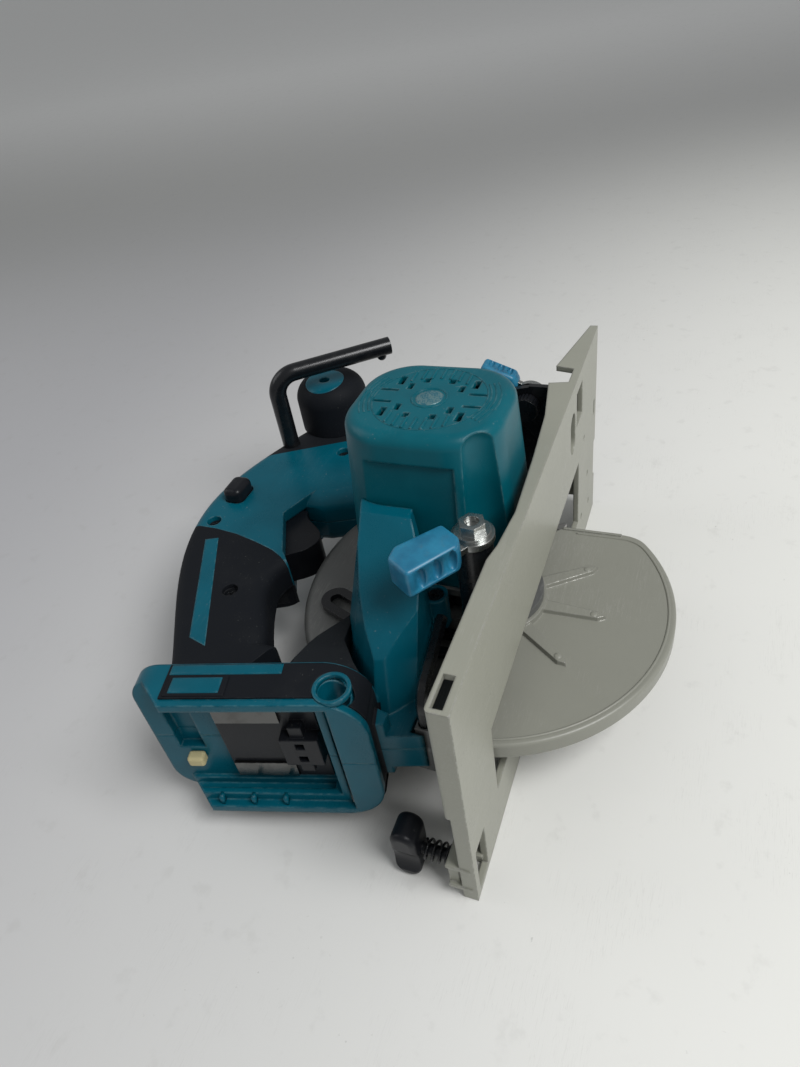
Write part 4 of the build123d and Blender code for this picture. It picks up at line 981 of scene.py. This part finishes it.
@dataclass
class MotorCover:
    """The motor cover's raised trim: ribs, step rings and the disc in the middle."""

    centre: Flat = (5.2, 23.07)
    top: float = 119.0
    circle: float = 25.3
    rib_count: int = 7
    rib_pitch: float = 4.4
    rib_length: float = 8.6
    rib_radius: float = 0.75
    rib_sunk: float = 0.12
    step_count: int = 3
    step_first: float = 27.2
    step_pitch: float = 2.1
    step_sweep: float = 62.0
    step_bead: float = 0.5
    step_sunk: float = 0.15
    fall_from: float = 30.0
    fall_radius: float = 6.0
    rim_gap: float = 0.4
    rim_share: float = 0.8
    disc: tuple[Flat, ...] = ((0.0, 0.30), (5.7, 0.24), (6.3, 0.0))
    ring: tuple[Flat, ...] = ((7.2, 0.0), (7.85, 0.55), (8.5, 0.0))
    hub_sunk: float = 0.6

    def build(self) -> None:
        """Build the trim and dress it."""
        own(self.ribs(), Body.SAW)
        own(self.steps(), Body.SAW)
        own(self.hub("cover_disc", self.disc), Body.SAW, FOIL)
        own(self.hub("cover_ring", self.ring), Body.SAW, TEAL_COVER)

    def ribs(self) -> Piece:
        """Build the ribs inside the vent circle, at both of its ends.

        Returns:
            The ribs as one piece.
        """
        recipe = Recipe("cover_ribs")
        count, pitch, length, reach, radius = recipe.sizes(
            Count=self.rib_count, Pitch=self.rib_pitch * MM, Length=self.rib_length * MM,
            Circle=self.circle * MM, Radius=self.rib_radius * MM)
        first = -pitch * (count - 1.0) / 2.0
        line = recipe.node("GeometryNodeMeshLine", inputs={
            "Count": count, "Start Location": recipe.vector(y=first), "Offset": recipe.vector(y=pitch)})
        across = recipe.parts(recipe.node("GeometryNodeInputPosition"))[1]
        out = (reach * reach - across * across).root() - length / 2.0
        rows = []
        for side in (-1.0, 1.0):
            points = recipe.node("GeometryNodeSetPosition", inputs={
                "Geometry": line, "Offset": recipe.vector(x=out * side)})
            rows.append(recipe.spread(points, recipe.bar(length, radius, "x")))
        whole = recipe.moved(recipe.join(rows), (*self.centre, self.top - self.rib_sunk))
        return recipe.grow(whole, TEAL_COVER)

    def steps(self) -> Piece:
        """Build the step rings at both sides and the vent circle's rim.

        Returns:
            The rings as one piece.
        """
        recipe = Recipe("cover_steps")
        radius, sweep = recipe.sizes(Bead=self.step_bead * MM, Sweep=radians(self.step_sweep))
        shapes = []
        for number in range(self.step_count):
            reach = self.step_first + number * self.step_pitch
            drop = max(0.0, reach - self.fall_from) ** 2 / (2.0 * self.fall_radius)
            for side in (-90.0, 90.0):
                start = radians(side) - sweep / 2.0
                path = recipe.node("GeometryNodeCurveArc", inputs={
                    "Resolution": 40, "Radius": reach * MM, "Start Angle": start, "Sweep Angle": sweep})
                shapes.append(recipe.moved(recipe.bead(path, radius), (0.0, 0.0, -drop)))
        rim = recipe.node("GeometryNodeCurvePrimitiveCircle", inputs={
            "Resolution": 96, "Radius": (self.circle + self.rim_gap) * MM})
        shapes.append(recipe.bead(rim, radius * self.rim_share))
        whole = recipe.moved(recipe.join(shapes), (*self.centre, self.top - self.step_sunk))
        return recipe.grow(whole, TEAL_COVER)

    def hub(self, name: str, profile: tuple[Flat, ...]) -> Piece:
        """Turn a low profile round the motor's axis.

        Args:
            name: The piece's name.
            profile: Radius and height of its points above the cover, from inside out.

        Returns:
            The piece, sunk a little into the cover.
        """
        points = [(profile[0][0], -self.hub_sunk), *profile, (profile[-1][0], -self.hub_sunk)]
        form = bmesh.new()
        verts = [form.verts.new((radius, 0.0, high)) for radius, high in points]
        chain = [form.edges.new(pair) for pair in zip(verts, verts[1:] + verts[:1])]
        bmesh.ops.spin(form, geom=verts + chain, cent=(0.0, 0.0, 0.0), axis=UP, angle=tau, steps=48)
        bmesh.ops.remove_doubles(form, verts=form.verts, dist=1e-4)
        bmesh.ops.dissolve_degenerate(form, dist=1e-5, edges=form.edges)
        bmesh.ops.recalc_face_normals(form, faces=form.faces)
        place = Matrix.Scale(MM, 4) @ Matrix.Translation((*self.centre, self.top))
        return link(name, meshed(form, place, name))


@dataclass
class LeverCover:
    """The soft cover on a clamp lever, with three flutes in its side."""

    node: str
    body: Body
    origin: Point
    along: Vector
    up: Vector
    start: float
    end: float
    low: float = -3.5
    high: float = 10.0
    rounding: float = 1.8
    flute_count: int = 3
    flute_share: float = 0.30
    flute_form: Point = (1.0, 1.1, 2.3)
    flute_first: float = 7.0
    flute_side: float = 8.5
    flute_rise: float = 0.8
    ends: float = 6.0

    def build(self) -> None:
        """Build the cover, let it stand for its solid and dress it."""
        outline = [(self.start, -6.5), (self.end - 6.0, -9.0), (self.end, -5.0),
                   (self.end, 8.0), (self.start + 4.0, 9.0), (self.start, 5.0)]
        plate = Plate(self.origin, self.along, self.up, outline, self.low, self.high, self.rounding)
        name = self.node + "_vinyl"
        cover = link(name + "_host", plate.mesh(name, 4))
        cutter = self.flutes()
        cut = cover.modifiers.new("flutes", "BOOLEAN")
        cut.operation = "DIFFERENCE"
        cut.solver = "EXACT"
        cut.use_self = True
        cut.object = cutter
        piece = applied(cover, name)
        bpy.data.objects.remove(cutter)
        own(piece, self.body, COVER)
        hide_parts(self.node)

    def flutes(self) -> Piece:
        """Build the long rounded shapes that cut the flutes.

        Returns:
            The shapes as one object, in their place.
        """
        recipe = Recipe(self.node + "_flutes")
        spacing = (self.end - self.start - self.ends) / self.flute_count
        count, pitch, wide = recipe.sizes(
            Count=self.flute_count, Pitch=spacing * MM, Width=spacing * self.flute_share * MM)
        line = recipe.node("GeometryNodeMeshLine", inputs={"Count": count, "Offset": recipe.vector(x=pitch)})
        cutter = recipe.grow(recipe.spread(line, recipe.ball(wide, self.flute_form, 16)), COVER)
        middle = (self.high + self.low) / 2.0 + self.flute_rise
        shift = Matrix.Translation((self.start + self.flute_first, self.flute_side, middle))
        place = placing(self.origin, self.along, self.up) @ shift
        cutter.data.transform(place @ Matrix.Scale(1.0 / MM, 4))
        return cutter


@dataclass
class LowerGuard:
    """The lower guard's raised rim and the pips at its ribs."""

    rim_radius: float = 86.2
    rim_from: float = -202.0
    rim_steps: int = 48
    rim_end: float = -32.0
    rim_sunk: float = 0.1
    corner: Flat = (41.5, -55.75)
    corner_radius: float = 16.7
    corner_steps: int = 8
    face: float = 5.5
    bead: float = 0.75
    pip_count: int = 3
    pip_reach: float = 51.5
    pip_first: float = -129.0
    pip_last: float = -56.5
    pip_radius: float = 2.0
    pip_form: Point = (1.0, 1.0, 0.4)
    pip_rise: float = 1.9

    def build(self) -> None:
        """Build the rim and the pips on the guard."""
        own(self.rim(), Body.GUARD, GUARD_PAINT)
        own(self.pips(), Body.GUARD)

    def rim(self) -> Piece:
        """Build the bead that follows the guard's edge round its corner.

        Returns:
            The bead.
        """
        turn = degrees(atan2(self.corner[1], self.corner[0]))
        path = arc((0.0, 0.0), self.rim_radius, self.rim_from, turn, self.rim_steps)
        path += arc(self.corner, self.corner_radius, turn, 0.0, self.corner_steps)[1:]
        path.append((self.corner[0] + self.corner_radius, self.rim_end))
        return tube("guard_rim", [(x, y, self.face - self.rim_sunk) for x, y in path], self.bead)

    def pips(self) -> Piece:
        """Build the low domes at the ends of the ribs.

        Returns:
            The domes as one piece.
        """
        recipe = Recipe("guard_pips")
        reach, radius, start, sweep = recipe.sizes(
            Reach=self.pip_reach * MM, Radius=self.pip_radius * MM, Start=radians(self.pip_first),
            Sweep=radians(self.pip_last - self.pip_first))
        row = recipe.node("GeometryNodeCurveArc", inputs={
            "Resolution": self.pip_count, "Radius": reach, "Start Angle": start, "Sweep Angle": sweep})
        pips = recipe.spread(row, recipe.ball(radius, self.pip_form, 12))
        whole = recipe.moved(pips, (0.0, 0.0, self.face + self.pip_rise))
        return recipe.grow(whole, GUARD_PAINT)


def tube(name: str, path: list[Point], radius: float) -> Piece:
    """Return a closed round bead along points.

    Args:
        name: The piece's name.
        path: The points in millimetres.
        radius: The bead's radius in millimetres.

    Returns:
        The piece.
    """
    curve = bpy.data.curves.new(name + "_path", "CURVE")
    curve.dimensions = "3D"
    curve.bevel_depth = radius * MM
    curve.bevel_resolution = 3
    curve.use_fill_caps = True
    spline = curve.splines.new("POLY")
    spline.points.add(len(path) - 1)
    for point, place in zip(spline.points, path):
        point.co = (*(c * MM for c in place), 1.0)
    return applied(show(bpy.data.objects.new(name + "_host", curve)), name)


@dataclass
class BatteryHolder:
    """The inlays on the holder's soft band, and the dividers of its lower rail."""

    face: float = 52.8
    rounding: float = 0.3
    inlay_sunk: float = 2.0
    middle: float = 12.0
    divider_count: int = 3
    divider_first: float = 34.0
    divider_pitch: float = 15.5
    divider_size: Point = (1.6, 3.4, 5.6)
    divider_deep: float = 2.9
    divider_side: float = -33.6

    def build(self) -> None:
        """Build the inlays and the dividers."""
        inlays = (
            ("band_strip", box_outline(-10.0, 39.0, 15.4, 20.6), 0.35, Slot.TEAL, TEAL),
            ("band_window", box_outline(14.5, 36.5, 5.6, 13.6), 0.75, Slot.TEAL, TEAL),
            ("band_frame", box_outline(12.0, 38.6, 4.3, 14.9), 0.50, Slot.RUBBER, BLACK_RUBBER),
        )
        for name, outline, rise, slot, finish in inlays:
            own(self.inlay(name, outline, rise), Body.SAW, finish)
        own(self.dividers(), Body.SAW)

    def dividers(self) -> Piece:
        """Build the short walls that part the lower rail's ledge into windows.

        Returns:
            The walls as one piece.
        """
        recipe = Recipe("rail_dividers")
        count, first, pitch = recipe.sizes(
            Count=self.divider_count, First=self.divider_first * MM, Pitch=self.divider_pitch * MM)
        line = recipe.node("GeometryNodeMeshLine", inputs={
            "Count": count, "Start Location": recipe.vector(x=first), "Offset": recipe.vector(x=-pitch)})
        wall = recipe.node("GeometryNodeMeshCube", inputs={"Size": tuple(c * MM for c in self.divider_size)})
        low = recipe.moved(recipe.spread(line, wall), (0.0, -self.divider_deep, self.divider_side))
        whole = recipe.moved(low, (*HOLDER_FOOT, self.middle), (0.0, 0.0, 90.0 + HOLDER_TILT))
        return recipe.grow(whole, TEAL)

    def inlay(self, name: str, outline: list[Flat], rise: float) -> Piece:
        """Return a flat inlay on the band's upper side.

        Args:
            name: The piece's name.
            outline: Its corners: how far up the holder, and how deep behind its face.
            rise: Its height above the band.

        Returns:
            The piece, sunk into the band.
        """
        turn = radians(90.0 + HOLDER_TILT)
        along = Vector((cos(turn), sin(turn), 0.0))
        origin = (*HOLDER_FOOT, self.face)
        mirrored = [(climb, -depth) for climb, depth in outline]
        plate = Plate(origin, along, UP, mirrored, -self.inlay_sunk, rise, self.rounding)
        return link(name, plate.mesh(name))


@dataclass
class BevelKnob:
    """The ridges round the bevel bolt's head."""

    centre: Point = (77.3, -1.0, 72.0)
    radius: float = 6.5
    length: float = 6.0
    count: int = 22
    ridge: float = 0.55

    def build(self) -> None:
        """Build the ridges on the tilt frame."""
        recipe = Recipe("bevel_knob_ridges")
        count, reach, length, radius = recipe.sizes(
            Count=self.count, Reach=self.radius * MM, Length=self.length * MM, Radius=self.ridge * MM)
        ring = recipe.node("GeometryNodeMeshCircle", inputs={"Vertices": count, "Radius": reach})
        ridges = recipe.spread(ring, recipe.bar(length, radius, "z"))
        whole = recipe.moved(ridges, self.centre, (0.0, 90.0, 0.0))
        own(recipe.grow(whole, BLACK_PLASTIC), Body.TILT)


@dataclass
class Studio:
    """The floor, with painted light and shade in its colour, the soft lights and the camera."""

    floor_height: float = -43.2
    floor_reach: float = 40000.0
    floor_rough: float = 0.75
    floor_relief: float = 0.02
    surround: float = 0.30
    sensor: float = 36.0
    lens: float = 25.456
    nearest: float = 0.01
    eye: Point = (-263.669, -89.723, 285.487)
    right: Point = (0.35027132, -0.92622745, -0.13932953)
    down: Point = (-0.63797375, -0.12701151, -0.7595114)
    forward: Point = (0.68578385, 0.35492365, -0.63539729)

    def build(self) -> None:
        """Build the stage."""
        self.floor()
        self.lights()
        self.camera()

    def floor(self) -> None:
        """Lay a wide floor."""
        reach = self.floor_reach * MM
        high = self.floor_height * MM
        mesh = bpy.data.meshes.new("floor")
        corners = [(x, y, high) for x, y in box_outline(-reach, reach, -reach, reach)]
        mesh.from_pydata(corners, [], [(0, 1, 2, 3)])
        floor = link("floor", mesh, smooth=False)
        surface = Surface("pale_floor")
        colour = self.floor_colour(surface)
        rough = self.floor_rough + (surface.noise(60.0) - 0.5) * 0.1
        flat = surface.node("ShaderNodeNewGeometry", out="Normal")
        surface.dress(Skin(colour, rough, surface.noise(3.0), self.floor_relief, flat), {})
        mesh.materials.append(surface.material)

    def floor_colour(self, surface: Surface) -> Wire:
        """Paint light and shade into the floor's colour: painted light to the right, painted shade further
        on, and painted light again in the distance.

        Args:
            surface: The floor's material.

        Returns:
            The colour, with smudges, flecks and scratches.
        """
        x, y, _ = surface.parts(surface.place)
        sideways = x * self.right[0] + y * self.right[1]
        onward = x * self.forward[0] + y * self.forward[1]
        # Painted light and shade: paler to the right, darker further on, paler again in the distance.
        pale = surface.step(sideways - onward * 0.35, -0.50, 0.30)
        distant_painted_shade = surface.step(onward + sideways * 0.08, 0.20, 0.95)
        back_painted_light = surface.step(onward + sideways * 0.10, 0.60, 1.80)
        colour = surface.mix(pale, FLOOR_PAINTED_SHADE, FLOOR_PAINTED_LIGHT)
        colour = surface.mix(distant_painted_shade, colour, FLOOR_DISTANT_PAINTED_SHADE)
        colour = surface.mix(back_painted_light, colour, FLOOR_BACK_PAINTED_LIGHT)
        smudge = surface.step(surface.noise(14.0, detail=5.0), 0.58, 0.72)
        flecks = surface.step(surface.noise(2.6, detail=4.0), 0.69, 0.73)
        flecks = flecks * surface.step(surface.noise(70.0), 0.5, 0.65)
        lines = surface.scratches(length=26.0, width=1.0, turn=35.0)
        marks = smudge * 0.10 + flecks * 0.4 + lines * 0.10
        return surface.mix(marks.least(1.0), colour, FLOOR_MARK)

    def lights(self) -> None:
        """Hang one large soft light, a weaker one at the left, and an even surround."""
        world = bpy.data.worlds.new("surround")
        world.use_nodes = True
        shade = world.node_tree.nodes["Background"]
        shade.inputs["Color"].default_value = (*SURROUND, 1.0)
        shade.inputs["Strength"].default_value = self.surround
        bpy.context.scene.world = world
        self.lamp("overhead", place=(-0.25, -0.85, 1.22), size=0.7, power=18.0)
        self.lamp("left", place=(-0.2, 1.3, 0.9), size=0.9, power=3.0)

    def lamp(self, name: str, place: Point, size: float, power: float) -> None:
        """Hang a square lamp that looks at the saw.

        Args:
            name: Its name.
            place: Where it hangs, in metres.
            size: The length of its side, in metres.
            power: Its power in watts.
        """
        light = bpy.data.lights.new(name, "AREA")
        light.size = size
        light.energy = power
        lamp = bpy.data.objects.new(name, light)
        lamp.location = place
        lamp.rotation_euler = (-Vector(place)).to_track_quat("-Z", "Y").to_euler()
        show(lamp)

    def camera(self) -> None:
        """Put the camera where the photograph was taken."""
        lens = bpy.data.cameras.new("camera")
        lens.sensor_width = self.sensor
        lens.lens = self.lens
        lens.clip_start = self.nearest
        camera = bpy.data.objects.new("camera", lens)
        axes = (Vector(self.right), -Vector(self.down), -Vector(self.forward))
        turn = Matrix(axes).transposed().to_4x4()
        camera.matrix_world = Matrix.Translation(Vector(self.eye) * MM) @ turn
        bpy.context.scene.camera = show(camera)


def dress_nodes(nodes: dict[str, Piece]) -> None:
    """Give every solid of the frame its finish.

    Args:
        nodes: The frame's objects by name.
    """
    for finish, names in NODE_FINISH.items():
        for name in names:
            finish.coat(nodes[name])
    LOG.info("%d solids dressed", sum(len(names) for names in NODE_FINISH.values()))


def levers() -> list[LeverCover]:
    """Set out the covers of the two clamp levers.

    Returns:
        The covers, not built yet.
    """
    depth_turn = radians(146.0)
    bevel_turn = radians(24.0)
    return [
        LeverCover("depth_lever_cover", Body.DEPTH_LEVER, origin=(-45.0, -9.0, 86.0),
                   along=Vector((cos(depth_turn), sin(depth_turn), 0.0)),
                   up=UP, start=10.0, end=38.0),
        LeverCover("bevel_lever_cover", Body.BEVEL_LEVER, origin=(87.7, -1.0, 72.0),
                   along=Vector((0.0, cos(bevel_turn), sin(bevel_turn))),
                   up=Vector((1.0, 0.0, 0.0)), start=9.0, end=31.0, high=6.5),
    ]


def main() -> None:
    """Build the dressed saw and its stage."""
    logging.basicConfig(level=logging.INFO, format="%(message)s")
    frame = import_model()
    bpy.context.scene.view_settings.view_transform = "Standard"
    Studio().build()
    dress_nodes(frame["nodes"])
    MotorCover().build()
    for cover in levers():
        cover.build()
    LowerGuard().build()
    BatteryHolder().build()
    BevelKnob().build()


if __name__ == "__main__":
    main()
